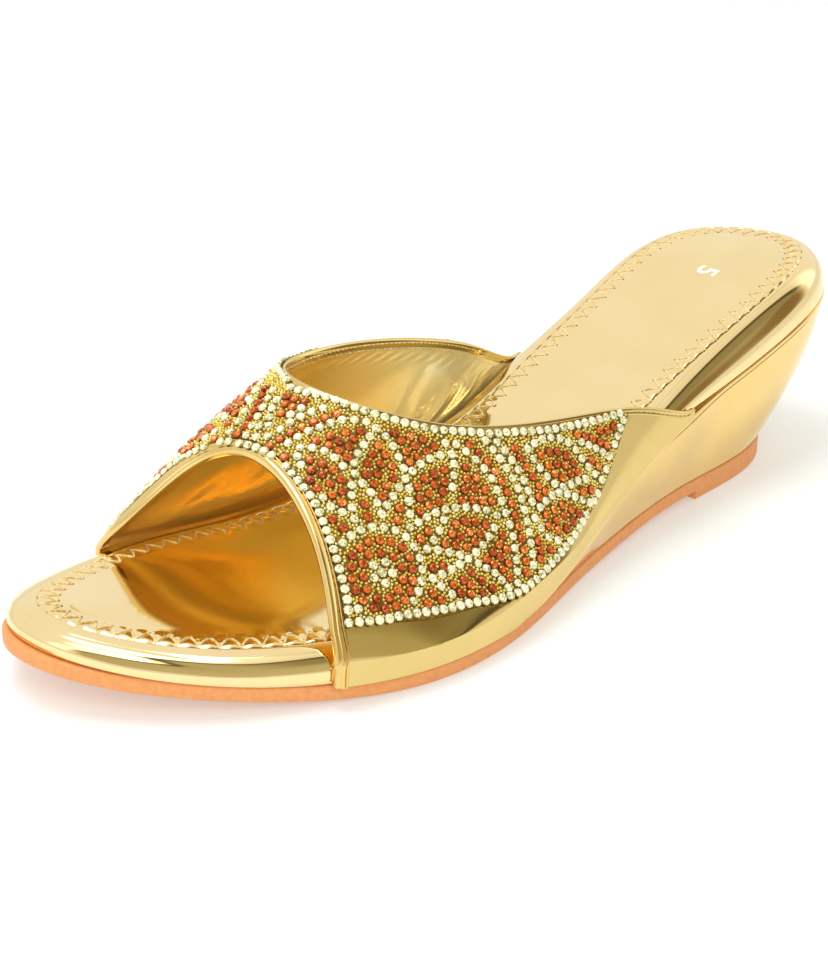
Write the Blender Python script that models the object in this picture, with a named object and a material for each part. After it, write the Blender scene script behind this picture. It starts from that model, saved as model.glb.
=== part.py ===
"""Open-toe slip-on wedge slide for the left foot.

Frame: toe towards -Y, heel towards +Y, lateral (outer) side towards +X, up is +Z, metres.
The shoe stands on the floor Z = 0, and the origin is below the middle of its outside box.
Every curved piece comes from the same last: a footbed outline, a height line along the
foot, and arched sections over it. Pieces that touch keep the small clearance GAP.
"""
import bpy
import bmesh
import numpy as np

# ---- driving dimensions, metres ----
LENGTH = 0.246                # footbed, toe tip to heel
BALL_WIDTH = 0.078            # footbed across the ball
FOREFOOT_TOP = 0.0116         # footbed top above the floor under the ball
HEEL_TOP = 0.0528             # footbed top above the floor at the very heel
TOE_SWING = -0.0017           # centre line at the toe tip, towards the medial side
HEEL_SWING = 0.0021           # centre line at the heel, towards the lateral side
INSTEP = 0.0535               # strap height over the footbed at its highest section
GAP = 0.0003                  # clearance between pieces that touch

SOLE_THICKNESS = 0.0036       # outsole sheet
SOLE_OVERHANG = 0.0017        # outsole in front of the toe tip
HEEL_UNDERCUT = 0.0232        # heel pad ends this far in front of the footbed's heel
TOE_SPRING = 0.0083           # lift of the outsole at its toe tip
SPRING_START = 0.068          # the toe spring begins here, behind the toe tip
SHANK_START = 0.092           # the sole begins to lift towards the heel pad here
BREAST = 0.1766               # front face of the moulded heel pad
BREAST_STEP = 0.0022          # drop from the shank down to the heel pad
BREAST_DRAFT = 0.0003         # half the slope of that face, seen from the side
SOLE_EDGE = 0.0006            # rounding of the outsole's edges
WEDGE_TUCK = 0.0003           # the wedge's foot lies this far inside the outsole's edge

FOOTBED_THICKNESS = 0.0090    # padded board and rim
RIM_DROP = 0.0048             # the rim is widest this far below the footbed's top
RIM_ROUND = 0.0075            # width of the rounding from the rim's side to its top
RIM_UNDERCUT = 0.0012         # bevel around the footbed's lower edge
RIM_LEAN = 0.0002             # the rim's side leans in this much below its widest line
WEDGE_START = 0.092           # thin front edge of the wedge
WEDGE_FLARE = 0.0015          # wedge stands this far outside the footbed beside the strap
FLARE_END = 0.186             # behind this the wedge is flush with the footbed
FLARE_FADE = 0.022            # length over which it comes flush
WEDGE_BULGE = 1.70            # 1 is a straight heel back, more is rounder
RIM_STEPS = 6                 # faces over the rim's rounding
WEDGE_LEVELS = 7              # outlines stacked from the outsole up to the footbed

STRAP_OUT = 0.0020            # outer face of the strap, outside the footbed's rim
STRAP_WALL = 0.0014           # strap with its lining
PANEL_GAP = 0.0004            # glue line between the strap and the beaded overlay
PANEL_WALL = 0.0009           # backing and stones of the beaded overlay
PANEL_FRONT = 0.0020          # bare strap in front of the overlay
PANEL_BACK = 0.0025           # bare strap behind the overlay
BINDING_WIDTH = 0.0015        # tape on the front edge, outside
BINDING_WALL = 0.0006         # tape thickness

# ---- meshing ----
PROBE = 0.0005                # step for measuring along the skin
TWIN = 1e-9                   # points of an outline nearer than this are one point
WELD = 1e-6                   # points of a piece nearer than this are merged
CREASE_ANGLE = 40.0           # degrees; sharper edges than this are not smooth shaded
AROUND = 44                   # stations along each side of an outline
STRAP_ACROSS = 40             # faces from the lateral base over to the medial base
STRAP_ALONG = 14              # faces from the front edge to the topline
PANEL_ACROSS = 34
PANEL_ALONG = 10

# Footbed sections. station: share of LENGTH from the toe tip. lateral, medial: fullness of
# each half as a share of BALL_WIDTH, before the round ends. rise: share of the climb from
# FOREFOOT_TOP to HEEL_TOP. depth: share of FOOTBED_THICKNESS; beside the strap's wings the
# wedge comes up higher around the rim.
FOOTBED_COLUMNS = ("station", "lateral", "medial", "rise", "depth")
FOOTBED_SECTIONS = (
    (0.000, 0.754, 0.628, 0.157, 1.00),
    (0.081, 0.774, 0.553, 0.057, 1.00),
    (0.183, 0.774, 0.474, 0.004, 1.00),
    (0.293, 0.735, 0.359, -0.007, 1.00),
    (0.407, 0.628, 0.286, 0.075, 1.00),
    (0.528, 0.504, 0.251, 0.209, 0.70),
    (0.650, 0.436, 0.311, 0.453, 0.70),
    (0.772, 0.457, 0.427, 0.708, 1.03),
    (0.894, 0.557, 0.637, 0.928, 1.16),
    (1.000, 0.667, 0.841, 1.000, 1.08),
)

# Outsole sections, the same way, over the outsole's own length.
SOLE_COLUMNS = ("station", "lateral", "medial")
SOLE_SECTIONS = (
    (0.000, 0.680, 0.550),
    (0.081, 0.689, 0.501),
    (0.183, 0.730, 0.464),
    (0.293, 0.744, 0.397),
    (0.407, 0.673, 0.319),
    (0.528, 0.549, 0.259),
    (0.650, 0.466, 0.281),
    (0.772, 0.443, 0.365),
    (0.894, 0.520, 0.545),
    (1.000, 0.640, 0.720),
)

# Last sections over the footbed. station: share of LENGTH. spring: metres below the footbed's
# top where the arch begins. height: share of INSTEP above the footbed. crown: sideways place of
# the highest point, share of BALL_WIDTH, + is lateral. lateral, medial: fullness of each
# shoulder, 2 is a half ellipse, 1 is lean, more is squarer.
LAST_COLUMNS = ("station", "spring", "height", "crown", "lateral", "medial")
LAST_SECTIONS = (
    (0.114, 0.0018, 0.138, 0.132, 1.81, 1.01),
    (0.203, 0.0018, 0.479, 0.017, 1.36, 1.30),
    (0.305, 0.0022, 0.729, -0.031, 0.88, 1.44),
    (0.427, 0.0036, 0.895, -0.076, 0.97, 1.60),
    (0.569, 0.0044, 1.026, -0.082, 1.31, 1.52),
    (0.699, 0.0048, 1.021, -0.055, 1.44, 1.22),
)

# Cut lines of the strap. across: 0 at the lateral base, 0.5 at the crown, 1 at the medial
# base. front, back: share of LENGTH where the opening and the topline cross it.
STRAP_COLUMNS = ("across", "front", "back")
STRAP_CUTS = (
    (0.00, 0.184, 0.685),
    (0.12, 0.187, 0.596),
    (0.28, 0.215, 0.401),
    (0.50, 0.222, 0.302),
    (0.72, 0.169, 0.412),
    (0.88, 0.152, 0.593),
    (1.00, 0.155, 0.678),
)

# Lower edges of the beaded overlay. along: 0 at its front, 1 at its back.
# lateral, medial: share of the way across, measured from each base.
PANEL_COLUMNS = ("along", "lateral", "medial")
PANEL_EDGES = (
    (0.00, 0.131, 0.130),
    (0.22, 0.108, 0.106),
    (0.35, 0.085, 0.082),
    (0.45, 0.034, 0.036),
    (0.58, 0.052, 0.052),
    (0.70, 0.066, 0.064),
    (0.83, 0.090, 0.086),
    (1.00, 0.124, 0.120),
)

GOLD = (0.83, 0.60, 0.22, 1.0)
PALE_GOLD = (0.87, 0.69, 0.34, 1.0)
TAN = (0.86, 0.42, 0.18, 1.0)
BEADS = (0.62, 0.42, 0.12, 1.0)


def column(table, columns, name):
    """One named column of a table as an array."""
    return np.array([row[columns.index(name)] for row in table])


def smooth_line(xs, ys):
    """Natural cubic through the points, as a function of x; straight beyond the ends."""
    xs = np.asarray(xs, float)
    ys = np.asarray(ys, float)
    n = len(xs)
    h = np.diff(xs)
    a = np.zeros((n, n))
    b = np.zeros(n)
    a[0, 0] = 1.0
    a[-1, -1] = 1.0
    for i in range(1, n - 1):
        a[i, i - 1:i + 2] = (h[i - 1], 2.0 * (h[i - 1] + h[i]), h[i])
        b[i] = 6.0 * ((ys[i + 1] - ys[i]) / h[i] - (ys[i] - ys[i - 1]) / h[i - 1])
    bend = np.linalg.solve(a, b)

    def value(x):
        x = np.asarray(x, float)
        inside = np.clip(x, xs[0], xs[-1])
        i = np.clip(np.searchsorted(xs, inside) - 1, 0, n - 2)
        left = inside - xs[i]
        right = xs[i + 1] - inside
        y = (bend[i] * right ** 3 + bend[i + 1] * left ** 3) / (6.0 * h[i])
        y = y + (ys[i] / h[i] - bend[i] * h[i] / 6.0) * right
        return y + (ys[i + 1] / h[i] - bend[i + 1] * h[i] / 6.0) * left

    return value


footbed_stations = column(FOOTBED_SECTIONS, FOOTBED_COLUMNS, "station") * LENGTH
footbed_lateral = smooth_line(
    footbed_stations, column(FOOTBED_SECTIONS, FOOTBED_COLUMNS, "lateral") * BALL_WIDTH)
footbed_medial = smooth_line(
    footbed_stations, column(FOOTBED_SECTIONS, FOOTBED_COLUMNS, "medial") * BALL_WIDTH)
footbed_top = smooth_line(
    footbed_stations,
    FOREFOOT_TOP + column(FOOTBED_SECTIONS, FOOTBED_COLUMNS, "rise") * (HEEL_TOP - FOREFOOT_TOP))

footbed_depth = smooth_line(
    footbed_stations, column(FOOTBED_SECTIONS, FOOTBED_COLUMNS, "depth") * FOOTBED_THICKNESS)

SOLE_FRONT = -SOLE_OVERHANG
SOLE_BACK = LENGTH - HEEL_UNDERCUT
sole_stations = SOLE_FRONT + column(SOLE_SECTIONS, SOLE_COLUMNS, "station") * (SOLE_BACK - SOLE_FRONT)
sole_lateral = smooth_line(
    sole_stations, column(SOLE_SECTIONS, SOLE_COLUMNS, "lateral") * BALL_WIDTH)
sole_medial = smooth_line(
    sole_stations, column(SOLE_SECTIONS, SOLE_COLUMNS, "medial") * BALL_WIDTH)


def outline(y, front, back, lateral, medial):
    """Both sides of an outline at the stations y: fullness times a round-ended profile."""
    share = (y - front) / (back - front)
    round_end = np.sqrt(np.clip(4.0 * share * (1.0 - share), 0.0, None))
    centre = TOE_SWING + (HEEL_SWING - TOE_SWING) * share
    return centre + round_end * lateral(y), centre - round_end * medial(y)


def footbed_sides(y):
    return outline(y, 0.0, LENGTH, footbed_lateral, footbed_medial)


def sole_bottom(y):
    """Underside of the outsole: toe spring, flat tread, lifted shank, heel pad."""
    spring = TOE_SPRING * (np.clip(SPRING_START - y, 0.0, None) / SPRING_START) ** 2
    share = np.clip((y - SHANK_START) / (BREAST - SHANK_START), 0.0, 1.0)
    shank = BREAST_STEP * share * share * (3.0 - 2.0 * share)
    return np.where(y > BREAST, 0.0, spring + shank)


def sole_top(y):
    """Upper face of the outsole, unbroken over the heel pad's step."""
    spring = TOE_SPRING * (np.clip(SPRING_START - y, 0.0, None) / SPRING_START) ** 2
    share = np.clip((y - SHANK_START) / (BREAST - SHANK_START), 0.0, 1.0)
    return spring + BREAST_STEP * share * share * (3.0 - 2.0 * share) + SOLE_THICKNESS


def footbed_underside(y):
    """Lies on the outsole in front and on the wedge behind."""
    return np.maximum(sole_top(y) + GAP, footbed_top(y) - footbed_depth(y))


def side_stations(front, back, count, extra=()):
    """Stations from front to back, crowded at both round ends."""
    angle = np.linspace(0.0, np.pi, count + 1)
    y = front + (back - front) * (1.0 - np.cos(angle)) / 2.0
    return np.unique(np.concatenate([y, extra]))


def loop(y, sides):
    """Closed loop: down the lateral side from front to back and up the medial side."""
    lateral, medial = sides(y)
    near = np.column_stack([lateral, y])
    far = np.column_stack([medial, y])
    return np.concatenate([near, far[::-1]])


def inset(ring, distance):
    """Loop moved inwards in plan by the distance; both ends of each side stay paired."""
    ahead = np.roll(ring, -1, axis=0)
    behind = np.roll(ring, 1, axis=0)
    twin_ahead = np.linalg.norm(ahead - ring, axis=1) < TWIN
    twin_behind = np.linalg.norm(behind - ring, axis=1) < TWIN
    ahead[twin_ahead] = np.roll(ring, -2, axis=0)[twin_ahead]
    behind[twin_behind] = np.roll(ring, 2, axis=0)[twin_behind]
    along = ahead - behind
    along /= np.linalg.norm(along, axis=1)[:, None]
    outward = np.column_stack([along[:, 1], -along[:, 0]])
    return ring - outward * distance


def ring_solid(rings):
    """Stack of matching loops, closed by rungs from side to side below and above."""
    count = len(rings[0])
    half = count // 2
    points = np.concatenate(rings)
    faces = []
    for level in range(len(rings) - 1):
        low = level * count
        high = low + count
        for i in range(count):
            j = (i + 1) % count
            faces.append((low + i, low + j, high + j, high + i))
    top = (len(rings) - 1) * count
    for i in range(half - 1):
        a, b = i, i + 1
        c, d = count - 1 - b, count - 1 - a
        faces.append((a, d, c, b))
        faces.append((top + a, top + b, top + c, top + d))
    return points, faces


def last_point(y, across, outward=0.0):
    """Point of the last's skin: a rounded arch over the footbed at station y.

    across runs 0 to 1 from the lateral rim over the crown to the medial rim, as half a turn.
    Its cosine gives the sideways place and the squared sine leans the crown to one side. The
    height is a power of the sine, so the crown stays smooth. outward swells the whole form.
    """
    stations = column(LAST_SECTIONS, LAST_COLUMNS, "station") * LENGTH

    def line(name, scale=1.0):
        return smooth_line(stations, column(LAST_SECTIONS, LAST_COLUMNS, name) * scale)(y)

    lateral, medial = footbed_sides(y)
    lateral = lateral + STRAP_OUT + outward
    medial = medial - STRAP_OUT - outward
    middle = (lateral + medial) / 2.0
    half = (lateral - medial) / 2.0
    base = footbed_top(y) - line("spring")
    height = line("spring") + line("height", INSTEP) + outward
    cosine = np.cos(across * np.pi)
    sine = np.abs(np.sin(across * np.pi))
    fullness = (line("lateral") * (1.0 + cosine) + line("medial") * (1.0 - cosine)) / 2.0
    x = middle + half * cosine + (line("crown", BALL_WIDTH) - middle) * sine ** 2
    return np.stack([x, y, base + height * sine ** (2.0 / fullness)], axis=-1)


def strap_cut(name):
    """Station of the strap's front edge or topline as a function of across."""
    line = smooth_line(column(STRAP_CUTS, STRAP_COLUMNS, "across"),
                       column(STRAP_CUTS, STRAP_COLUMNS, name) * LENGTH)
    return lambda across: line(np.clip(across, 0.0, 1.0))


strap_front = strap_cut("front")
strap_back = strap_cut("back")


def skirted(y, across, outward):
    """Skin with straight skirts: across below 0 or above 1 runs down beside the rim.

    A skirt reaches its lower edge, level with the footbed's underside, at -1 and at 2.
    """
    skin = last_point(y, np.clip(across, 0.0, 1.0), outward)
    depth = np.clip(np.maximum(-across, across - 1.0), 0.0, 1.0)
    skin[..., 2] = skin[..., 2] + (footbed_underside(y) - skin[..., 2]) * depth
    return skin


def stepped(y, across, distance):
    """Station reached from y by going the distance along the skin, at the same across."""
    speed = np.linalg.norm(skirted(y + PROBE, across, 0.0) - skirted(y, across, 0.0), axis=-1) / PROBE
    return y + distance / speed


def across_steps(count, skirt=3):
    """Steps over the strap, evenly over the arch, with a few down each skirt."""
    down = np.linspace(-1.0, 0.0, skirt + 1)[:-1]
    over = np.linspace(0.0, 1.0, count + 1)
    return np.concatenate([down, over, 1.0 - down[::-1]])


def grid_faces(rows, columns):
    faces = []
    for i in range(rows - 1):
        for j in range(columns - 1):
            a = i * columns + j
            faces.append((a, a + 1, a + columns + 1, a + columns))
    return faces


def shell_solid(outer, inner):
    """Closed wall between two matching grids, outer face first."""
    rows, columns = outer.shape[:2]
    count = rows * columns
    points = np.concatenate([outer.reshape(-1, 3), inner.reshape(-1, 3)])
    faces = []
    for a, b, c, d in grid_faces(rows, columns):
        faces.append((a, b, c, d))
        faces.append((count + d, count + c, count + b, count + a))
    edge = list(range(columns))
    edge += [i * columns + columns - 1 for i in range(1, rows)]
    edge += [(rows - 1) * columns + j for j in range(columns - 2, -1, -1)]
    edge += [i * columns for i in range(rows - 2, 0, -1)]
    for a, b in zip(edge, edge[1:] + edge[:1]):
        faces.append((b, a, count + a, count + b))
    return points, faces


def outsole():
    """Moulded sheet with its heel pad, edges slightly rounded."""
    y = side_stations(SOLE_FRONT, SOLE_BACK, AROUND,
                      (SPRING_START, SHANK_START, BREAST - BREAST_DRAFT, BREAST + BREAST_DRAFT))
    plan = loop(y, lambda s: outline(s, SOLE_FRONT, SOLE_BACK, sole_lateral, sole_medial))
    station = plan[:, 1]
    low = sole_bottom(station)
    high = sole_top(station)
    rings = []
    for distance, height in ((SOLE_EDGE, low), (0.0, low + SOLE_EDGE),
                             (0.0, high - SOLE_EDGE), (SOLE_EDGE, high)):
        rings.append(np.column_stack([inset(plan, distance), height]))
    return ring_solid(rings)


def footbed():
    """Padded board with a rounded rim; the top is flat from side to side."""
    y = side_stations(0.0, LENGTH, AROUND)
    plan = loop(y, footbed_sides)
    station = plan[:, 1]
    low = footbed_underside(station)
    high = footbed_top(station)
    rings = []
    for distance, height in ((RIM_UNDERCUT, low), (RIM_LEAN, low + RIM_UNDERCUT),
                             (0.0, high - RIM_DROP)):
        rings.append(np.column_stack([inset(plan, distance), height]))
    for angle in np.radians(np.linspace(0.0, 90.0, RIM_STEPS + 1)[1:]):
        distance = RIM_ROUND * (1.0 - np.cos(angle))
        height = high - RIM_DROP * (1.0 - np.sin(angle))
        rings.append(np.column_stack([inset(plan, distance), height]))
    return ring_solid(rings)


def wedge_sides(level):
    """Wedge outline at a level from 0, on the outsole, to 1, under the footbed."""
    blend = 1.0 - (1.0 - level) ** WEDGE_BULGE
    back = SOLE_BACK + (LENGTH - SOLE_BACK) * blend

    def sides(y):
        share = (y - WEDGE_START) / (back - WEDGE_START)
        low_y = WEDGE_START + (SOLE_BACK - WEDGE_START) * share
        high_y = WEDGE_START + (LENGTH - WEDGE_START) * share
        low = outline(low_y, SOLE_FRONT, SOLE_BACK, sole_lateral, sole_medial)
        high = footbed_sides(high_y)
        fade = np.clip((FLARE_END - high_y) / FLARE_FADE, 0.0, 1.0)
        flare = WEDGE_FLARE * fade * fade * (3.0 - 2.0 * fade)
        high = (high[0] + flare, high[1] - flare)
        low = (low[0] - WEDGE_TUCK, low[1] + WEDGE_TUCK)
        return tuple(a + (b - a) * blend for a, b in zip(low, high))

    return sides, back


def wedge():
    """Wrapped heel block, feathered at the front, leaning in at its sides and back."""
    rings = []
    share = (1.0 - np.cos(np.linspace(0.0, np.pi / 2.0, AROUND // 2 + 1)))
    share = np.unique(np.concatenate([share * 0.5, 1.0 - share * 0.5]))
    for level in np.linspace(0.0, 1.0, WEDGE_LEVELS):
        sides, back = wedge_sides(level)
        y = WEDGE_START + (back - WEDGE_START) * share
        plan = loop(y, sides)
        station = plan[:, 1]
        low_y = WEDGE_START + (station - WEDGE_START) * (SOLE_BACK - WEDGE_START) / (back - WEDGE_START)
        high_y = WEDGE_START + (station - WEDGE_START) * (LENGTH - WEDGE_START) / (back - WEDGE_START)
        low = sole_top(low_y) + GAP
        high = footbed_underside(high_y) - GAP
        rings.append(np.column_stack([plan, low + (high - low) * level]))
    return ring_solid(rings)


def strap_grid(outward):
    across = across_steps(STRAP_ACROSS)
    along = np.linspace(0.0, 1.0, STRAP_ALONG + 1)
    front = strap_front(across)
    back = strap_back(across)
    y = front[None, :] + (back - front)[None, :] * along[:, None]
    return skirted(y, np.broadcast_to(across, y.shape), outward)


def upper():
    """One wide strap, open at toe and heel, with skirts down to the outsole and the wedge."""
    return shell_solid(strap_grid(0.0), strap_grid(-STRAP_WALL))


def bead_panel():
    """Overlay of backing and stones, between two larger forms of the strap's own skin."""
    across = np.linspace(0.0, 1.0, PANEL_ACROSS + 1)
    along = np.linspace(0.0, 1.0, PANEL_ALONG + 1)
    steps = column(PANEL_EDGES, PANEL_COLUMNS, "along")
    near = smooth_line(steps, column(PANEL_EDGES, PANEL_COLUMNS, "lateral"))(along)
    far = 1.0 - smooth_line(steps, column(PANEL_EDGES, PANEL_COLUMNS, "medial"))(along)
    over = near[:, None] + (far - near)[:, None] * across[None, :]
    front = stepped(strap_front(over), over, PANEL_FRONT)
    back = stepped(strap_back(over), over, -PANEL_BACK)
    y = front + (back - front) * along[:, None]
    return shell_solid(last_point(y, over, PANEL_GAP + PANEL_WALL), last_point(y, over, PANEL_GAP))


def front_binding():
    """Tape over the front edge: a leg outside the strap and a lip before its cut edge."""
    across = across_steps(STRAP_ACROSS)
    front = strap_front(across)
    profile = ((BINDING_WIDTH, GAP), (BINDING_WIDTH, GAP + BINDING_WALL),
               (-GAP, GAP + BINDING_WALL), (-GAP - BINDING_WALL, GAP),
               (-GAP - BINDING_WALL, -STRAP_WALL), (-GAP, -STRAP_WALL), (-GAP, GAP))
    lines = [skirted(stepped(front, across, back), across, outward) for back, outward in profile]
    points = np.concatenate(lines)
    count = len(across)
    faces = []
    total = len(lines)
    for k in range(total):
        a = k * count
        b = (k + 1) % total * count
        for j in range(count - 1):
            faces.append((a + j, b + j, b + j + 1, a + j + 1))
    faces.append(tuple(k * count for k in range(total))[::-1])
    faces.append(tuple(k * count + count - 1 for k in range(total)))
    return points, faces


def material(name, colour, roughness, metallic):
    finish = bpy.data.materials.new(name)
    finish.use_nodes = True
    shader = finish.node_tree.nodes["Principled BSDF"]
    shader.inputs["Base Color"].default_value = colour
    shader.inputs["Roughness"].default_value = roughness
    shader.inputs["Metallic"].default_value = metallic
    finish.diffuse_color = colour
    return finish


def add_piece(name, shape, shift, finish):
    """Mesh object from points and faces, with doubled points merged and faces outwards."""
    points, faces = shape
    mesh = bpy.data.meshes.new(name)
    mesh.from_pydata((points + shift).tolist(), [], faces)
    work = bmesh.new()
    work.from_mesh(mesh)
    bmesh.ops.remove_doubles(work, verts=work.verts, dist=WELD)
    bmesh.ops.recalc_face_normals(work, faces=work.faces)
    work.to_mesh(mesh)
    work.free()
    mesh.shade_smooth()
    mesh.set_sharp_from_angle(angle=np.radians(CREASE_ANGLE))
    mesh.materials.append(finish)
    piece = bpy.data.objects.new(name, mesh)
    bpy.context.scene.collection.objects.link(piece)
    return piece


def main():
    for old in list(bpy.data.objects):
        bpy.data.objects.remove(old, do_unlink=True)
    shapes = {
        "outsole": (outsole(), ("tan_sole", TAN, 0.55, 0.0)),
        "wedge": (wedge(), ("gold_wedge", PALE_GOLD, 0.15, 1.0)),
        "footbed": (footbed(), ("gold_footbed", PALE_GOLD, 0.12, 1.0)),
        "upper": (upper(), ("gold_strap", GOLD, 0.15, 1.0)),
        "bead_panel": (bead_panel(), ("beads", BEADS, 0.35, 0.2)),
        "front_binding": (front_binding(), ("gold_tape", GOLD, 0.2, 1.0)),
    }
    everything = np.concatenate([shape[0] for shape, _ in shapes.values()])
    low = everything.min(axis=0)
    high = everything.max(axis=0)
    shift = np.array([-(low[0] + high[0]) / 2.0, -(low[1] + high[1]) / 2.0, 0.0])
    for name, (shape, finish) in shapes.items():
        add_piece(name, shape, shift, material(*finish))


main()
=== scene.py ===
# %% [markdown]
# # A slip-on wedge heel for the left foot
# The real shoe is a slide: a moulded tan outsole, a foam wedge and a padded footbed wrapped in
# gold coated film, and one wide strap over the instep with a beaded overlay. A shoemaker builds
# it round a last, a solid foot form, so here every curved piece is also a function of one last.
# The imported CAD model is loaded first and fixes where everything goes.

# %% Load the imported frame
import bpy
import bmesh
import numpy as np
from mathutils import Matrix, Vector, kdtree
from mathutils.bvhtree import BVHTree


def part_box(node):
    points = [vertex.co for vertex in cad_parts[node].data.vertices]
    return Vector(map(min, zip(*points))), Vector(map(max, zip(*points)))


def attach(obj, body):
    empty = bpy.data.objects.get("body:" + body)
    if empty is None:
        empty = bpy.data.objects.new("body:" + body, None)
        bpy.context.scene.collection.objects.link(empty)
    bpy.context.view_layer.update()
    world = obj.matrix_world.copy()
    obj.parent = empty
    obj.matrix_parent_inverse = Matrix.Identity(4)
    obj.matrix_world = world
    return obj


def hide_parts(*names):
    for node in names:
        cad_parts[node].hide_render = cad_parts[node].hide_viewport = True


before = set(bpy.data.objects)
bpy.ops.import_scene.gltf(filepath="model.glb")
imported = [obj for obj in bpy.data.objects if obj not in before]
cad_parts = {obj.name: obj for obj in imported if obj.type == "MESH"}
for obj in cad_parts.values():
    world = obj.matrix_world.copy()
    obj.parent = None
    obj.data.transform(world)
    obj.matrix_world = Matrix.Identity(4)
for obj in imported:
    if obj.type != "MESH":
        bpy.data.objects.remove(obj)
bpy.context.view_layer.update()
MM = 0.001

# %% [markdown]
# ## The sizes of the last
# A last is described the way a pattern cutter does it: a few sections along the foot, each with
# a handful of named numbers, and a smooth curve through them. The tables below are shares of the
# driving sizes, so one size can change and the rest follows.

# %% Driving sizes, in metres
LENGTH = 0.246                # footbed, toe tip to heel
BALL_WIDTH = 0.078            # footbed across the ball
FOREFOOT_TOP = 0.0116         # footbed top above the floor under the ball
HEEL_TOP = 0.0528             # footbed top above the floor at the very heel
TOE_SWING = -0.0017           # centre line at the toe tip, towards the medial side
HEEL_SWING = 0.0021           # centre line at the heel, towards the lateral side
INSTEP = 0.0535               # strap height over the footbed at its highest section
GAP = 0.0003                  # clearance between pieces that touch
SOLE_THICKNESS = 0.0036       # outsole sheet
SOLE_OVERHANG = 0.0017        # outsole in front of the toe tip
HEEL_UNDERCUT = 0.0232        # heel pad ends this far in front of the footbed's heel
TOE_SPRING = 0.0083           # lift of the outsole at its toe tip
SPRING_START = 0.068          # the toe spring begins here, behind the toe tip
SHANK_START = 0.092           # the sole begins to lift towards the heel pad here
BREAST = 0.1766               # front face of the moulded heel pad
BREAST_STEP = 0.0022          # drop from the shank down to the heel pad
FOOTBED_THICKNESS = 0.0090    # padded board and rim
RIM_DROP = 0.0048             # the rim is widest this far below the footbed's top
RIM_ROUND = 0.0075            # width of the rounding from the rim's side to its top
WEDGE_START = 0.092           # thin front edge of the wedge
WEDGE_FLARE = 0.0015          # wedge stands this far outside the footbed beside the strap
FLARE_END = 0.186             # behind this the wedge is flush with the footbed
FLARE_FADE = 0.022            # length over which it comes flush
WEDGE_BULGE = 1.70            # 1 is a straight heel back, more is rounder
STRAP_OUT = 0.0020            # outer face of the strap, outside the footbed's rim
STRAP_WALL = 0.0014           # strap with its lining
PANEL_GAP = 0.0004            # glue line between the strap and the beaded overlay
PANEL_FRONT = 0.0020          # bare strap in front of the overlay
PANEL_BACK = 0.0025           # bare strap behind the overlay

# %% Sections of the footbed, the outsole and the last, and the strap's cut lines
# station: share of the length from the toe tip. lateral and medial: fullness of each half.
FOOTBED_COLUMNS = ("station", "lateral", "medial", "rise", "depth")
FOOTBED_SECTIONS = (
    (0.000, 0.754, 0.628, 0.157, 1.00),
    (0.081, 0.774, 0.553, 0.057, 1.00),
    (0.183, 0.774, 0.474, 0.004, 1.00),
    (0.293, 0.735, 0.359, -0.007, 1.00),
    (0.407, 0.628, 0.286, 0.075, 1.00),
    (0.528, 0.504, 0.251, 0.209, 0.70),
    (0.650, 0.436, 0.311, 0.453, 0.70),
    (0.772, 0.457, 0.427, 0.708, 1.03),
    (0.894, 0.557, 0.637, 0.928, 1.16),
    (1.000, 0.667, 0.841, 1.000, 1.08),
)
SOLE_COLUMNS = ("station", "lateral", "medial")
SOLE_SECTIONS = (
    (0.000, 0.680, 0.550),
    (0.081, 0.689, 0.501),
    (0.183, 0.730, 0.464),
    (0.293, 0.744, 0.397),
    (0.407, 0.673, 0.319),
    (0.528, 0.549, 0.259),
    (0.650, 0.466, 0.281),
    (0.772, 0.443, 0.365),
    (0.894, 0.520, 0.545),
    (1.000, 0.640, 0.720),
)
LAST_COLUMNS = ("station", "spring", "height", "crown", "lateral", "medial")
LAST_SECTIONS = (
    (0.114, 0.0018, 0.138, 0.132, 1.81, 1.01),
    (0.203, 0.0018, 0.479, 0.017, 1.36, 1.30),
    (0.305, 0.0022, 0.729, -0.031, 0.88, 1.44),
    (0.427, 0.0036, 0.895, -0.076, 0.97, 1.60),
    (0.569, 0.0044, 1.026, -0.082, 1.31, 1.52),
    (0.699, 0.0048, 1.021, -0.055, 1.44, 1.22),
)
# across: 0 at the lateral base, 0.5 at the crown, 1 at the medial base.
STRAP_COLUMNS = ("across", "front", "back")
STRAP_CUTS = (
    (0.00, 0.184, 0.685),
    (0.12, 0.187, 0.596),
    (0.28, 0.215, 0.401),
    (0.50, 0.222, 0.302),
    (0.72, 0.169, 0.412),
    (0.88, 0.152, 0.593),
    (1.00, 0.155, 0.678),
)
SWEEP = 0.0012                # the front edge curves this far towards the toe at its lower ends
SWEEP_FROM = 0.010            # starting this far above the base
SWEEP_SKIRT = 0.005           # the skirt's depth
ARCH_WIDTH = 0.105            # length of the skin across the foot, about
# along: 0 at the overlay's front edge, 1 at its back edge.
PANEL_COLUMNS = ("along", "lateral", "medial")
PANEL_EDGES = (
    (0.00, 0.131, 0.130),
    (0.22, 0.108, 0.106),
    (0.35, 0.085, 0.082),
    (0.45, 0.034, 0.036),
    (0.58, 0.052, 0.052),
    (0.70, 0.066, 0.064),
    (0.83, 0.090, 0.086),
    (1.00, 0.124, 0.120),
)

# %% [markdown]
# ## From tables to curves
# A natural cubic goes smoothly through every section, as a draughtsman's spline does. It is a
# small linear system, and numpy evaluates the result for a whole array of stations at once.

# %% Smooth curves through the tables


def column(table, columns, name):
    """One named column of a table as an array."""
    return np.array([row[columns.index(name)] for row in table])


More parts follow.
